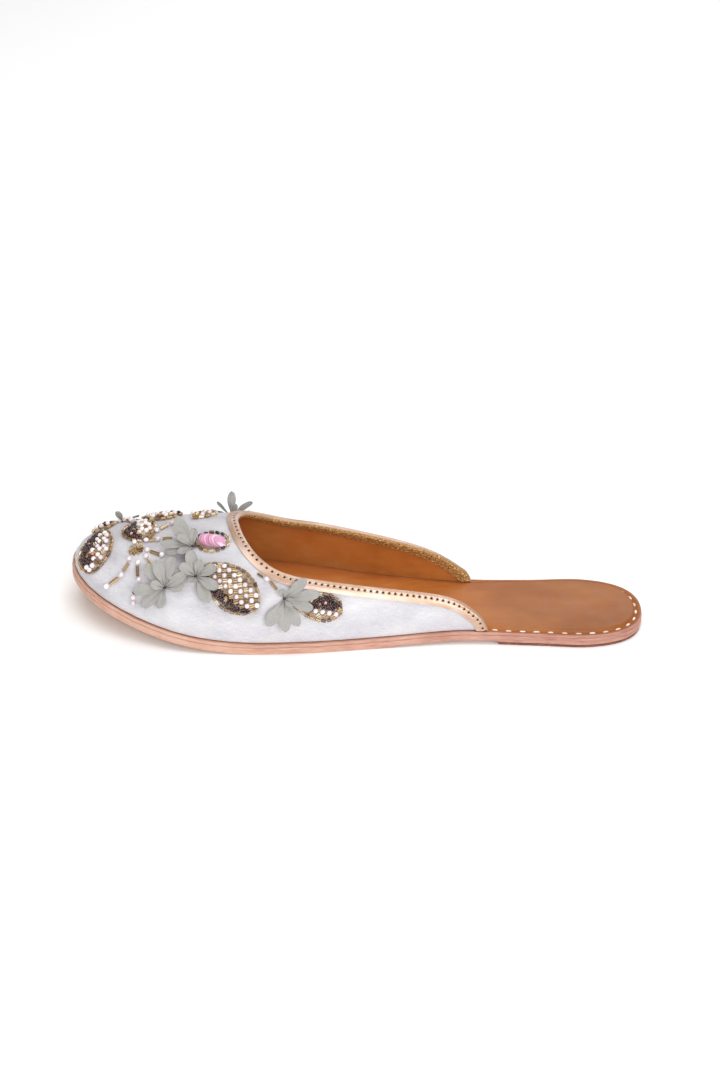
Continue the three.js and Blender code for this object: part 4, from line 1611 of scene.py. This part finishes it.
@dataclass
class Studio:
    """Camera, lamps, surroundings and floor."""

    last: Last
    stock: Stock
    eye: tuple[float, float, float] = (165.7, 1137.8, 685.7)
    look_at: tuple[float, float, float] = (129.0, 0.0, 0.0)
    lens: float = 97.7
    roll: float = 1.45
    shift: tuple[float, float] = (0.0029, 0.071)
    floor_size: float = 6.0
    surroundings: float = 0.48
    lamps: ClassVar = [
        SoftBox("overhead", (0.0, 0.1, 1.3), (0.0, 0.0, 0.0), (1.2, 1.0), 8.0),
        SoftBox("key", (-0.35, 1.25, 0.6), (0.0, 0.0, 0.02), (1.0, 0.7), 13.0),
        SoftBox("toe_fill", (0.9, 0.7, 0.22), (0.12, 0.0, 0.0), (0.6, 0.3), 0.9),
        SoftBox("back_rim", (-0.4, -0.9, 0.7), (0.0, 0.0, 0.02), (0.7, 0.5), 3.0),
    ]

    def build(self) -> None:
        """Sets up everything that isn't the shoe."""
        for lamp in self.lamps:
            lamp.build()
        scene = bpy.context.scene
        world = bpy.data.worlds.new("white_tent")
        world.use_nodes = True
        scene.world = world
        sky = world.node_tree.nodes["Background"]
        sky.inputs["Color"].default_value = linear("#FFFFFF")
        sky.inputs["Strength"].default_value = self.surroundings
        scene.view_settings.view_transform = "Standard"
        self.camera()
        half = self.floor_size / 2
        paper = bpy.data.meshes.new("floor_paper")
        paper.from_pydata([(-half, -half, 0), (half, -half, 0), (half, half, 0), (-half, half, 0)], [],
                          [(0, 1, 2, 3)])
        paper.materials.append(self.stock.paper)
        floor = bpy.data.objects.new("floor_paper", paper)
        scene.collection.objects.link(floor)

    def camera(self) -> None:
        """Stands the camera at its eye point, turned to its aim and rolled a little."""
        lens = bpy.data.cameras.new("camera")
        lens.lens, lens.sensor_width, lens.sensor_fit = self.lens, 36.0, "AUTO"
        lens.shift_x, lens.shift_y = self.shift
        holder = bpy.data.objects.new("camera", lens)
        eye = (np.array(self.eye) + self.last.origin) * MM
        aim = (np.array(self.look_at) + self.last.origin) * MM
        sight = Vector(aim - eye).to_track_quat("-Z", "Y").to_matrix().to_4x4()
        holder.matrix_world = Matrix.Translation(Vector(eye)) @ sight @ Matrix.Rotation(
            np.radians(self.roll), 4, "Z"
        )
        bpy.context.scene.collection.objects.link(holder)
        bpy.context.scene.camera = holder


# ---- Beadwork ------------


class Bead(Enum):
    """The kinds of bead, numbered as their finishes are in a piece of beadwork."""

    PEARL = 1
    BUGLE = 2
    SEED = 3
    BLUSH = 4


def tube(sides: int) -> Skin:
    """A bugle of unit half length along x: an outer wall, flat rims and a closed sunk bore.

    Args:
        sides: Corners round it.

    Returns:
        The closed shape, with U the turn round it and 0.5 on its outer side.
    """
    half = np.array([(-0.9, 0.0), (-0.9, 0.45), (-1, 0.5), (-0.94, 1)])
    profile = np.concatenate([half, half[::-1] * [-1, 1]])
    spin = np.linspace(0, 2 * np.pi, sides + 1)[None]
    x, radius = profile[:, :1], profile[:, 1:]
    points = together(x, radius * np.sin(spin), -radius * np.cos(spin))
    return Skin.grid(points, together(spin / (2 * np.pi), 0 * x))


class BeadTray:
    """Beads laid on the upper one kind at a time, gathered to be one piece."""

    shapes: ClassVar[dict[Bead, Skin]] = {
        Bead.PEARL: capsule(7, 9, 1.0),
        Bead.BUGLE: tube(8),
        Bead.SEED: capsule(6, 7, 0.7),
        Bead.BLUSH: capsule(6, 8, 0.8),
    }

    def __init__(self, seed: int) -> None:
        """An empty tray with its own chance, so that each run lays the same beads."""
        self.chance = np.random.default_rng(seed)
        self.skins: list[Skin] = []

    def lay(
        self, kind: Bead, spots: Array, runs: Array, outward: Array, size: tuple[float, float]
    ) -> None:
        """Adds beads of one kind, each with its hole along its run and its back to the cloth.

        Args:
            kind: Which bead.
            spots: Their middles, shape (n, 3).
            runs: The way each bead's hole points.
            outward: The cloth's normal at each.
            size: Length along the hole and width across it. Each bead strays a little from them.
        """
        if not len(spots):
            return
        tilt = self.chance.normal(0, 0.08, outward.shape)
        normal = unit(outward + tilt)
        wide = unit(np.cross(normal, runs))
        turns = np.stack([np.cross(wide, normal), wide, normal], -1)
        stray = self.chance.uniform(0.9, 1.08, (len(spots), 2))
        sizes = np.stack([size[0] * stray[:, 0], size[1] * stray[:, 1], size[1] * stray[:, 1]], -1) / 2
        tint = self.chance.random(len(spots))
        skin = Skin.copies(self.shapes[kind], spots, turns, sizes, tint)
        self.skins.append(skin.dressed(kind.value))


@dataclass
class Patch:
    """A flat field laid over the form: an origin on it, and two directions in the field."""

    last: Last
    centre: Array
    axis: Array
    across: Array
    guess: tuple[float, float]

    @classmethod
    def between(cls, last: Last, around: Sequence[float], climb: Sequence[float]) -> "Patch":
        """A field with its axis from one place on the form to another. Its origin is midway.

        Args:
            last: The form.
            around: Both places round it.
            climb: Both places up it, in degrees.

        Returns:
            The field.
        """
        ends = last.form(np.array(around), np.radians(climb))
        middle = (float(np.mean(around)), float(np.radians(np.mean(climb))))
        axis = unit(ends[1] - ends[0])
        across = unit(np.cross(last.outward(*middle), axis))
        return cls(last, ends.mean(0), axis, across, middle)

    @classmethod
    def at(cls, last: Last, around: float, climb: float) -> "Patch":
        """A field at one place, with its axis towards the heel and its other way to the right.

        Args:
            last: The form.
            around: The place round it.
            climb: The place up it, in degrees.

        Returns:
            The field.
        """
        place = (around, float(np.radians(climb)))
        normal = last.outward(*place)
        heelward = np.array([-1.0, 0.0, 0.0])
        axis = unit(heelward - normal * (heelward @ normal))
        return cls(last, last.form(*place), axis, np.cross(normal, axis), place)

    def spots(self, s: Array, t: Array, out: Array) -> tuple[Array, Array]:
        """Points over the form at s along the axis, t across it and out from the cloth.

        Args:
            s: Distance along the axis.
            t: Distance across it.
            out: Height above the form.

        Returns:
            The points and the cloth's normals there.
        """
        target = self.centre + s[..., None] * self.axis + t[..., None] * self.across
        place = self.last.nearest(target, *self.guess)
        return self.last.offset(*place, out), self.last.outward(*place)


@dataclass(frozen=True)
class Leaf:
    """A leaf filled with beads, from its stalk to its tip, as its CAD pad lies.

    dark is the stretch across it, from -1 to 1, that is filled with dark seed beads, and
    dark_along the stretch along it. Every gold_every-th bead of the rest is a short gold bugle,
    and edge_dark is the share of the border that is dark.
    """

    name: str
    around: tuple[float, float]
    climb: tuple[float, float]
    width: float
    bulge: float
    dark: tuple[float, float] = (2.0, 3.0)
    dark_along: tuple[float, float] = (0.0, 1.0)
    gold_every: int = 3
    lattice: float = 40.0
    sparse: bool = False
    edge_dark: float = 0.0

    def half(self, share: Array) -> Array:
        """Half its width at a share of its length: powers of a sine, rounder beyond the bulge.

        Args:
            share: Shares of its length, from the stalk.

        Returns:
            Half the width at each.
        """
        stalk = share < self.bulge
        across = np.where(stalk, share / self.bulge, (1 - share) / (1 - self.bulge))
        sine = np.sin(np.clip(across, 0, 1) * np.pi / 2)
        return self.width / 2 * sine ** np.where(stalk, 0.7, 0.5)


@dataclass
class Beadwork:
    """The leaves, the sequin motif and the strands of bugles and pearls that join them."""

    last: Last
    stock: Stock
    pearl: float = 2.35
    bugle: tuple[float, float] = (4.7, 1.5)
    square: tuple[float, float] = (2.1, 1.9)
    border: tuple[float, float] = (2.2, 1.5)
    seed: tuple[float, float] = (1.25, 1.45)
    backing: float = 0.3
    crown: float = 0.8
    leaves: ClassVar = [
        Leaf("leaf_toe", (-0.075, 0.165), (22.5, 11), 16.5, 0.6, dark=(-1.0, -0.05),
             dark_along=(0.0, 0.86)),
        Leaf("leaf_left_large", (0.385, 0.587), (42.9, 22.9), 19.5, 0.57, dark=(-1.0, -0.4), gold_every=2,
             lattice=45),
        Leaf("leaf_left_small", (0.66, 0.745), (25.8, 23.4), 13.2, 0.6, dark=(-0.1, 1.0),
             dark_along=(0.2, 0.95), gold_every=2),
        Leaf("leaf_spine", (0.098, -0.102), (36, 33.6), 16.4, 0.6, dark=(0.1, 1.0)),
        Leaf("leaf_right_upper", (-0.17, -0.235), (32.5, 44), 12, 0.55, dark=(0.15, 1.0)),
        Leaf("leaf_right_lower", (-0.34, -0.475), (21.5, 19), 11, 0.6, dark=(0.5, 1.0), gold_every=2),
        Leaf("leaf_right_toe", (-0.17, -0.08), (22.5, 16), 9.5, 0.55, dark=(-0.5, 0.3),
             dark_along=(0.1, 0.7)),
        Leaf("teardrop", (-0.12, -0.345), (49.4, 50.6), 10, 0.62, gold_every=2, sparse=True),
    ]
    sequin_leaf: ClassVar = Leaf("sequin_stack", (0.18, 0.318), (49.2, 57), 11.5, 0.5, sparse=True,
                                edge_dark=0.45)

    def finishes(self) -> list[bpy.types.Material]:
        """The finishes in the order of their numbers: backing, then each kind of bead."""
        stock = self.stock
        return [stock.underlay, stock.pearl, stock.bugle, stock.seed, stock.blush]

    def build(self) -> None:
        """Makes every leaf, the sequin motif and the strands."""
        for number, leaf in enumerate(self.leaves):
            self.leaf(leaf, number)
        self.sequin_motif()
        self.strands()

    def length(self, leaf: Leaf) -> float:
        """Distance from a leaf's stalk to its tip."""
        ends = self.last.form(np.array(leaf.around), np.radians(leaf.climb))
        return float(np.linalg.norm(ends[1] - ends[0]))

    def leaf(self, leaf: Leaf, number: int) -> None:
        """One leaf: its backing, its border of bugles and its filling.

        Args:
            leaf: The leaf.
            number: Its place in the list, which seeds its tray.
        """
        patch = Patch.between(self.last, leaf.around, leaf.climb)
        length = self.length(leaf)
        tray = BeadTray(100 + number)
        tray.skins.append(self.pad(leaf, patch, length))
        self.edge(leaf, patch, length, tray)
        self.filling(leaf, patch, length, tray)
        made = Skin.join(tray.skins)
        made.piece(self.last, f"{leaf.name}_beads", self.finishes(), "beads", [leaf.name])

    def rise(self, leaf: Leaf, share: Array, ratio: Array) -> Array:
        """Height of the backing's upper face: a low crown, highest along the middle."""
        height = 0.25 if leaf.sparse else self.crown
        return self.backing + height * (1 - ratio**2) * np.sqrt(np.clip(np.sin(np.pi * share), 0, 1))

    def pad(self, leaf: Leaf, patch: Patch, length: float) -> Skin:
        """The backing: a closed low dome over the leaf's outline, just inside its border.

        Args:
            leaf: The leaf.
            patch: Its field.
            length: Its length.

        Returns:
            The closed backing.
        """
        share = np.linspace(0.05, 0.95, 30)[:, None]
        ratio = np.linspace(-1, 1, 13)[None]
        s, t = np.broadcast_arrays((share - 0.5) * length, ratio * (leaf.half(share) - self.border[1]))
        share, ratio = np.broadcast_arrays(share, ratio)
        top, _ = patch.spots(s, t, self.rise(leaf, share, ratio))
        low, _ = patch.spots(s, t, np.full_like(s, 0.02))
        return Skin.shell(top, low, np.stack([s, t], -1))

    def edge(self, leaf: Leaf, patch: Patch, length: float, tray: BeadTray) -> None:
        """Short gold bugles end to end, half their width inside the outline.

        Args:
            leaf: The leaf.
            patch: Its field.
            length: Its length.
            tray: Where the bugles go.
        """
        share = (1 - np.cos(np.linspace(0, np.pi, 200))) / 2
        s = (share - 0.5) * length
        half = leaf.half(share)
        path = np.concatenate([np.stack([s, half], -1), np.stack([s, -half], -1)[::-1][1:]])
        inward = np.stack([np.gradient(path[:, 1]), -np.gradient(path[:, 0])], -1)
        path = path + unit(inward) * self.border[1] / 2
        travel = running_length(path)
        count = int(travel[-1] / (self.border[0] + 0.4))
        marks = (np.arange(count) + 0.5) * travel[-1] / count
        spots2 = at_distance(path, travel, marks)
        ahead2 = at_distance(path, travel, marks + 0.4)
        out = np.full(count, self.border[1] / 2 + 0.12)
        spots, normal = patch.spots(spots2[:, 0], spots2[:, 1], out)
        ahead, _ = patch.spots(ahead2[:, 0], ahead2[:, 1], out)
        stray = tray.chance.normal(0, 0.12, spots.shape)
        runs = unit(ahead - spots + 0.4 * stray)
        dark = tray.chance.random(count) < leaf.edge_dark
        tray.lay(Bead.BUGLE, spots[~dark], runs[~dark], normal[~dark], self.border)
        tray.lay(Bead.SEED, spots[dark], runs[dark], normal[dark], self.border)

    def lattice(self, leaf: Leaf, length: float, pitch: float) -> tuple[Array, ...]:
        """A square lattice of points turned in the leaf's field and kept inside its border.

        Args:
            leaf: The leaf.
            length: Its length.
            pitch: Distance between neighbours.

        Returns:
            s and t of each point, its share along the leaf, its ratio across it, and its two
            whole numbers in the lattice.
        """
        reach = int(length / pitch) + 2
        i, j = [n.ravel() for n in np.meshgrid(np.arange(-reach, reach), np.arange(-reach, reach))]
        turn = np.radians(leaf.lattice)
        s = pitch * (i * np.cos(turn) - j * np.sin(turn))
        t = pitch * (i * np.sin(turn) + j * np.cos(turn))
        share = s / length + 0.5
        room = leaf.half(np.clip(share, 0, 1)) - self.border[1] - 0.28 * pitch
        keep = (share > 0.03) & (share < 0.97) & (np.abs(t) < room)
        ratio = t / np.maximum(leaf.half(np.clip(share, 0, 1)), 0.1)
        return tuple(value[keep] for value in (s, t, share, ratio, i, j))

    def filling(self, leaf: Leaf, patch: Patch, length: float, tray: BeadTray) -> None:
        """Pearls and square bugles on a lattice, and dark seed beads closer together.

        Args:
            leaf: The leaf.
            patch: Its field.
            length: Its length.
            tray: Where the beads go.
        """
        pitch = self.pearl * (1.2 if leaf.sparse else 0.93)
        s, t, share, ratio, i, j = self.lattice(leaf, length, pitch)
        light = ~self.in_dark(leaf, share, ratio)
        gold = (i + j * (1 if leaf.gold_every == 2 else 2)) % leaf.gold_every == 0
        jitter = tray.chance.normal(0, 0.1, (2, len(s)))
        height = self.rise(leaf, share, ratio)
        for kind, chosen, size in (
            (Bead.PEARL, light & ~gold, (self.pearl, self.pearl)),
            (Bead.BUGLE, light & gold, self.square),
        ):
            out = height[chosen] + 0.42 * size[1]
            spots, normal = patch.spots(s[chosen] + jitter[0, chosen], t[chosen] + jitter[1, chosen], out)
            turn = np.radians(leaf.lattice) + tray.chance.normal(0, 0.2, len(spots))
            runs = np.cos(turn)[:, None] * patch.axis + np.sin(turn)[:, None] * patch.across
            tray.lay(kind, spots, runs, normal, size)
        s, t, share, ratio, i, j = self.lattice(leaf, length, self.seed[1] * 0.78)
        chosen = self.in_dark(leaf, share, ratio)
        s, t, height = s[chosen], t[chosen], self.rise(leaf, share, ratio)[chosen]
        jitter = tray.chance.normal(0, 0.16, (3, len(s)))
        spots, normal = patch.spots(s + jitter[0], t + jitter[1], height + 0.5 * self.seed[1] + jitter[2])
        runs = unit(tray.chance.normal(0, 1, spots.shape))
        pick = tray.chance.random(len(s))
        tray.lay(Bead.SEED, spots[pick > 0.1], runs[pick > 0.1], normal[pick > 0.1], self.seed)
        some = (pick <= 0.1) & (pick > 0.03)
        tray.lay(Bead.BUGLE, spots[some], runs[some], normal[some], self.seed)
        rare = pick <= 0.03
        tray.lay(Bead.BLUSH, spots[rare], runs[rare], normal[rare], (1.5, 1.7))

    def in_dark(self, leaf: Leaf, share: Array, ratio: Array) -> Array:
        """Whether points of the leaf's field lie in its dark part."""
        across = (ratio >= leaf.dark[0]) & (ratio <= leaf.dark[1])
        return across & (share >= leaf.dark_along[0]) & (share <= leaf.dark_along[1])

    def sequin_motif(self, discs: int = 7, radius: float = 3.4, lean: float = 31.0) -> None:
        """Sequins leaning on each other like fallen dominoes, inside a border of bugles.

        A sequin is a shallow cup: a disc whose height is a power of its radius. Along the motif
        each stands a step further on, and they are largest in the middle.

        Args:
            discs: How many sequins.
            radius: The largest one.
            lean: How far they lean, in degrees.
        """
        leaf, last = self.sequin_leaf, self.last
        patch, length = Patch.between(last, leaf.around, leaf.climb), self.length(self.sequin_leaf)
        tray = BeadTray(31)
        wider = Leaf(leaf.name, leaf.around, leaf.climb, leaf.width + 1.4, leaf.bulge,
                     edge_dark=leaf.edge_dark)
        tray.skins.append(self.pad(leaf, patch, length))
        self.edge(wider, patch, length + 1.4, tray)
        made = Skin.join(tray.skins)
        made.piece(last, "sequin_border", self.finishes(), "beads", [])
        share = np.linspace(0.36, 0.76, discs)
        s = (share - 0.5) * length
        size = radius * (0.7 + 0.3 * np.sin(np.pi * share))
        out = 1.45 + 0.2 * np.sin(np.pi * share)
        spots, normal = patch.spots(s, 0 * s - 0.7, out)
        tilt = np.radians(lean) + tray.chance.normal(0, 0.06, discs)
        axis = unit(patch.axis - normal * (normal @ patch.axis)[:, None])
        face = np.cos(tilt)[:, None] * normal + np.sin(tilt)[:, None] * axis
        wide = unit(np.cross(face, axis) + tray.chance.normal(0, 0.04, (discs, 3)))
        rim = np.linspace(0, 1, 7)[:, None]
        spin = np.linspace(0, 2 * np.pi, 33)[None]
        cup = together(rim * np.cos(spin), rim * np.sin(spin), 0.14 * rim**2)
        under = cup - np.array([0, 0, 0.04])
        disc = Skin.shell(cup, under, together(spin / (2 * np.pi), rim))
        turns = np.stack([np.cross(wide, face), wide, face], -1)
        stack = Skin.copies(disc, spots, turns, np.repeat(size[:, None], 3, 1),
                            0.37 * np.arange(discs) % 1)
        stack.piece(last, "sequin_discs", [self.stock.sequin], "sequins", [leaf.name])

    def strands(self) -> None:
        """Rays of the spray and the stems between motifs, all one piece.

        Each strand is a row of beads along a path over the cloth, given as places around and
        climb in degrees, with a letter for each bead: b a bugle, s a short one, p a pearl and
        d a dark bead.
        """
        heart = (0.142, 32.8)
        short_rays = [
            (0.165, 29), (0.2, 32), (0.12, 29), (0.15, 37), (0.1, 35.5),
            (0.18, 34.5), (0.13, 36.5), (0.105, 31.5), (0.145, 28), (0.185, 30),
        ]
        rows = [
            ([(0.175, 29.7), (0.212, 25.8), (0.239, 21), (0.24, 16), (0.235, 10)], "p.b.p.b.p"),
            ([(0.21, 31), (0.295, 22.5)], "p.b.p"),
            ([(0.19, 34), (0.345, 29.5)], "p.b.p.s"),
            ([(0.158, 35), (0.24, 38)], "p.bp"),
            ([(0.093, 36), (0.123, 44.5)], "psp.b"),
            ([(0.09, 37.5), (-0.03, 43.5), (-0.075, 48)], "b.p.b.p"),
            ([heart, (0.11, 34), (0.069, 33)], "sp"),
            *[([heart, end], "s") for end in short_rays],
            ([(0.308, 17.5), (0.325, 10)], "dpp"),
            ([(0.325, 38), (0.36, 41)], "sd"),
            ([(0.383, 42), (0.403, 41.5)], "dd"),
            ([(0.553, 45), (0.575, 43), (0.6, 40.5), (0.63, 33.5)], "s.p.b"),
            ([(-0.225, 46.5), (-0.24, 47.5)], "p"),
            ([(-0.13, 31.5), (-0.2, 24), (-0.25, 19.5)], "pspsppsp"),
            ([(-0.2, 27.5), (-0.25, 20.5), (-0.34, 21.5)], "psppspsps"),
            ([(-0.18, 20), (-0.25, 18), (-0.31, 16)], "spspps"),
        ]
        tray = BeadTray(57)
        for path, beads in rows:
            self.strand(tray, path, beads)
        made = Skin.join(tray.skins)
        made.piece(self.last, "spray_strands", self.finishes(), "beads", [])

    def strand(self, tray: BeadTray, path: Sequence[tuple[float, float]], beads: str) -> None:
        """Threads beads one after another along a path over the cloth.

        Args:
            tray: Where they go.
            path: Places on the form, around and climb in degrees.
            beads: A letter for each bead. A dot leaves a small gap.
        """
        kinds = {
            "b": (Bead.BUGLE, self.bugle), "s": (Bead.BUGLE, (2.9, 1.3)),
            "p": (Bead.PEARL, (self.pearl, self.pearl)), "d": (Bead.SEED, (1.7, 1.9)),
        }
        around, climb = np.array(path, float).T
        step = np.linspace(0, len(path) - 1, 60)
        number = np.arange(len(path))
        line = (np.interp(step, number, around), np.radians(np.interp(step, number, climb)))
        points, normals = self.last.form(*line), self.last.outward(*line)
        travel = running_length(points)
        mark = 0.6
        for letter in beads:
            if letter == ".":
                mark += 0.5
                continue
            kind, size = kinds[letter]
            middle = mark + size[0] / 2
            mark += size[0] + 0.12
            beyond = max(middle - travel[-1], 0)
            spot = at_distance(points, travel, middle)
            back = at_distance(points, travel, middle - 0.8)
            out = unit(at_distance(normals, travel, middle))
            run = unit(spot - back) if beyond == 0 else unit(points[-1] - points[-4])
            spot = spot + run * beyond + out * (size[1] / 2 + 0.1)
            tray.lay(kind, spot[None], run[None], out[None], size)


# ---- Flowers ------------


@dataclass(frozen=True)
class Petal:
    """One petal: where it points (0 heel, 90 right of it), how it rises, its length and width."""

    bearing: float
    lift: float
    tip_lift: float
    length: float
    width: float


@dataclass
class Flowers:
    """Six fabric flowers: petals cut from organza, folded down the middle and sewn at the root."""

    last: Last
    stock: Stock
    cloth: float = 0.14
    root: float = 1.0
    flowers: ClassVar = {
        "flower_1": (0.367, 24.6, [
            Petal(190, 22, 0, 13.5, 6), Petal(222, 16, -6, 12.5, 6.2), Petal(257, 10, -8, 9, 5.6),
            Petal(133, 26, 8, 13, 6.4), Petal(100, 36, 16, 12.5, 6.4), Petal(68, 28, 10, 14, 6.2),
            Petal(32, 26, 6, 11.5, 6), Petal(-2, 20, 2, 9, 5.4), Petal(165, 52, 26, 7, 5),
        ]),
        "flower_2": (0.249, 47.2, [
            Petal(116, 30, 12, 15.5, 5.8), Petal(136, 38, 16, 12.5, 6.2), Petal(160, 52, 26, 8.5, 5.4),
            Petal(182, 30, 6, 13.5, 6), Petal(204, 26, 0, 12, 6), Petal(230, 34, 6, 9, 5.6),
            Petal(80, 40, 20, 8, 5),
        ]),
        "flower_3": (0.405, 35.7, [
            Petal(176, 22, 2, 12.5, 6), Petal(142, 44, 20, 8.5, 5.6), Petal(98, 34, 12, 11.5, 6.4),
            Petal(60, 46, 24, 8, 5.4), Petal(12, 36, 12, 10.5, 6), Petal(-34, 24, 2, 12, 6.2),
            Petal(-64, 16, -6, 13.5, 6.4), Petal(-112, 54, 40, 6.5, 4.6),
        ]),
        "flower_4": (0.638, 30.1, [
            Petal(47, 32, 12, 13.5, 5.6), Petal(10, 26, 6, 15.5, 5.8), Petal(-15, 20, 0, 13, 5.6),
            Petal(-35, 58, 30, 6.5, 5), Petal(-63, 20, -4, 13, 6), Petal(-90, 16, -6, 14, 6),
            Petal(234, 20, -6, 13.5, 6.6), Petal(100, 50, 30, 5.5, 4.6),
        ]),
        "flower_5": (-0.52, 34, [
            Petal(250, 66, 84, 11, 5), Petal(285, 40, 40, 6.5, 4), Petal(345, 30, 34, 11, 6.4),
            Petal(190, 38, 46, 9, 4), Petal(150, 26, 16, 9, 5), Petal(10, 28, 18, 9, 5),
            Petal(90, 20, 4, 9, 5),
        ]),
        "flower_6": (-0.235, 19.5, [
            Petal(235, 50, 56, 5.2, 4.6), Petal(130, 20, -2, 9, 5), Petal(90, 22, 0, 9, 5),
            Petal(60, 22, 2, 9, 5), Petal(20, 18, 2, 8, 5), Petal(160, 20, 2, 8, 5),
        ]),
    }

    def build(self) -> None:
        """Makes each flower in its place."""
        finishes = [self.stock.organza, self.stock.seed]
        for number, (name, (around, climb, petals)) in enumerate(self.flowers.items()):
            chance = np.random.default_rng(200 + number)
            patch = Patch.at(self.last, around, climb)
            normal = self.last.outward(*patch.guess)
            axes = np.stack([patch.axis, patch.across, normal], -1)
            skins = [self.petal(petal, chance.random(4)) for petal in petals]
            knot = Skin.copies(
                capsule(6, 8, 0.8), np.array([[0, 0, self.root + 0.5], [0.7, 0.3, self.root + 0.1]]),
                np.stack([np.eye(3)] * 2), np.full((2, 3), 0.62), np.array([0.2, 0.8]),
            ).dressed(1)
            flower = Skin.join([*skins, knot])
            flower.points = flower.points @ axes.T + patch.centre
            flower.piece(self.last, f"{name}_petals", finishes, "petal_cloth", [name], 80.0)

    def petal(self, petal: Petal, chance: Array) -> Skin:
        """One petal, from its root out along its bearing.

        Its middle line turns evenly from lift to tip_lift. It widens to two thirds of its length
        and ends in half an ellipse. Across, it dips to the middle fold and curls by a square.

        Args:
            petal: Its sizes.
            chance: Four numbers from 0 to 1 that make it differ from its neighbours.

        Returns:
            The closed thin petal in the flower's own axes.
        """
        along = np.linspace(0, 1, 17)[:, None]
        across = np.linspace(-1, 1, 13)[None]
        lift = np.radians(petal.lift + (petal.tip_lift - petal.lift) * along + 8 * (chance[0] - 0.5))
        step = petal.length / (len(along) - 1)
        ahead = np.cumsum(np.cos(lift), 0) * step
        up = np.cumsum(np.sin(lift), 0) * step
        round_end = np.sqrt(1 - (np.maximum(along - 0.62, 0) / 0.38) ** 2.2)
        half = 0.42 * petal.width * round_end * (0.16 + 0.84 * smooth(0.0, 0.62, along))
        y = half * across
        curl = (0.06 + 0.18 * chance[1]) * half * across**2
        fold = -0.28 * np.exp(-((across / 0.16) ** 2)) * smooth(1.0, 0.55, along)
        ripple = 0.25 * along * np.sin(2 * np.pi * (chance[2] + 0.9 * along) + 2.2 * across)
        z = up + curl + fold + ripple
        top = together(ahead - np.sin(lift) * (curl + fold + ripple), y, z)
        bearing = np.radians(petal.bearing + 10 * (chance[3] - 0.5))
        turn = np.array([[np.cos(bearing), -np.sin(bearing), 0], [np.sin(bearing), np.cos(bearing), 0],
                         [0, 0, 1]])
        top = top @ turn.T + np.array([0, 0, self.root])
        normal = np.cross(np.gradient(top, axis=0), np.gradient(top, axis=1))
        low = top - unit(normal) * self.cloth
        uv = together(along * petal.length, y)
        return Skin.shell(top, low, uv)


# ---- Making it all ------------


def main() -> None:
    """Builds the shoe, part by part, and the studio round it."""
    logging.basicConfig(level=logging.INFO, format="%(name)s %(message)s")
    last, stock = Last(), Stock()
    for kind in (Sole, Vamp, CollarBinding, Beadwork, Flowers, Studio):
        part = kind(last, stock)
        log.info("building: %s", kind.__name__)
        part.build()


if __name__ == "__main__":
    main()
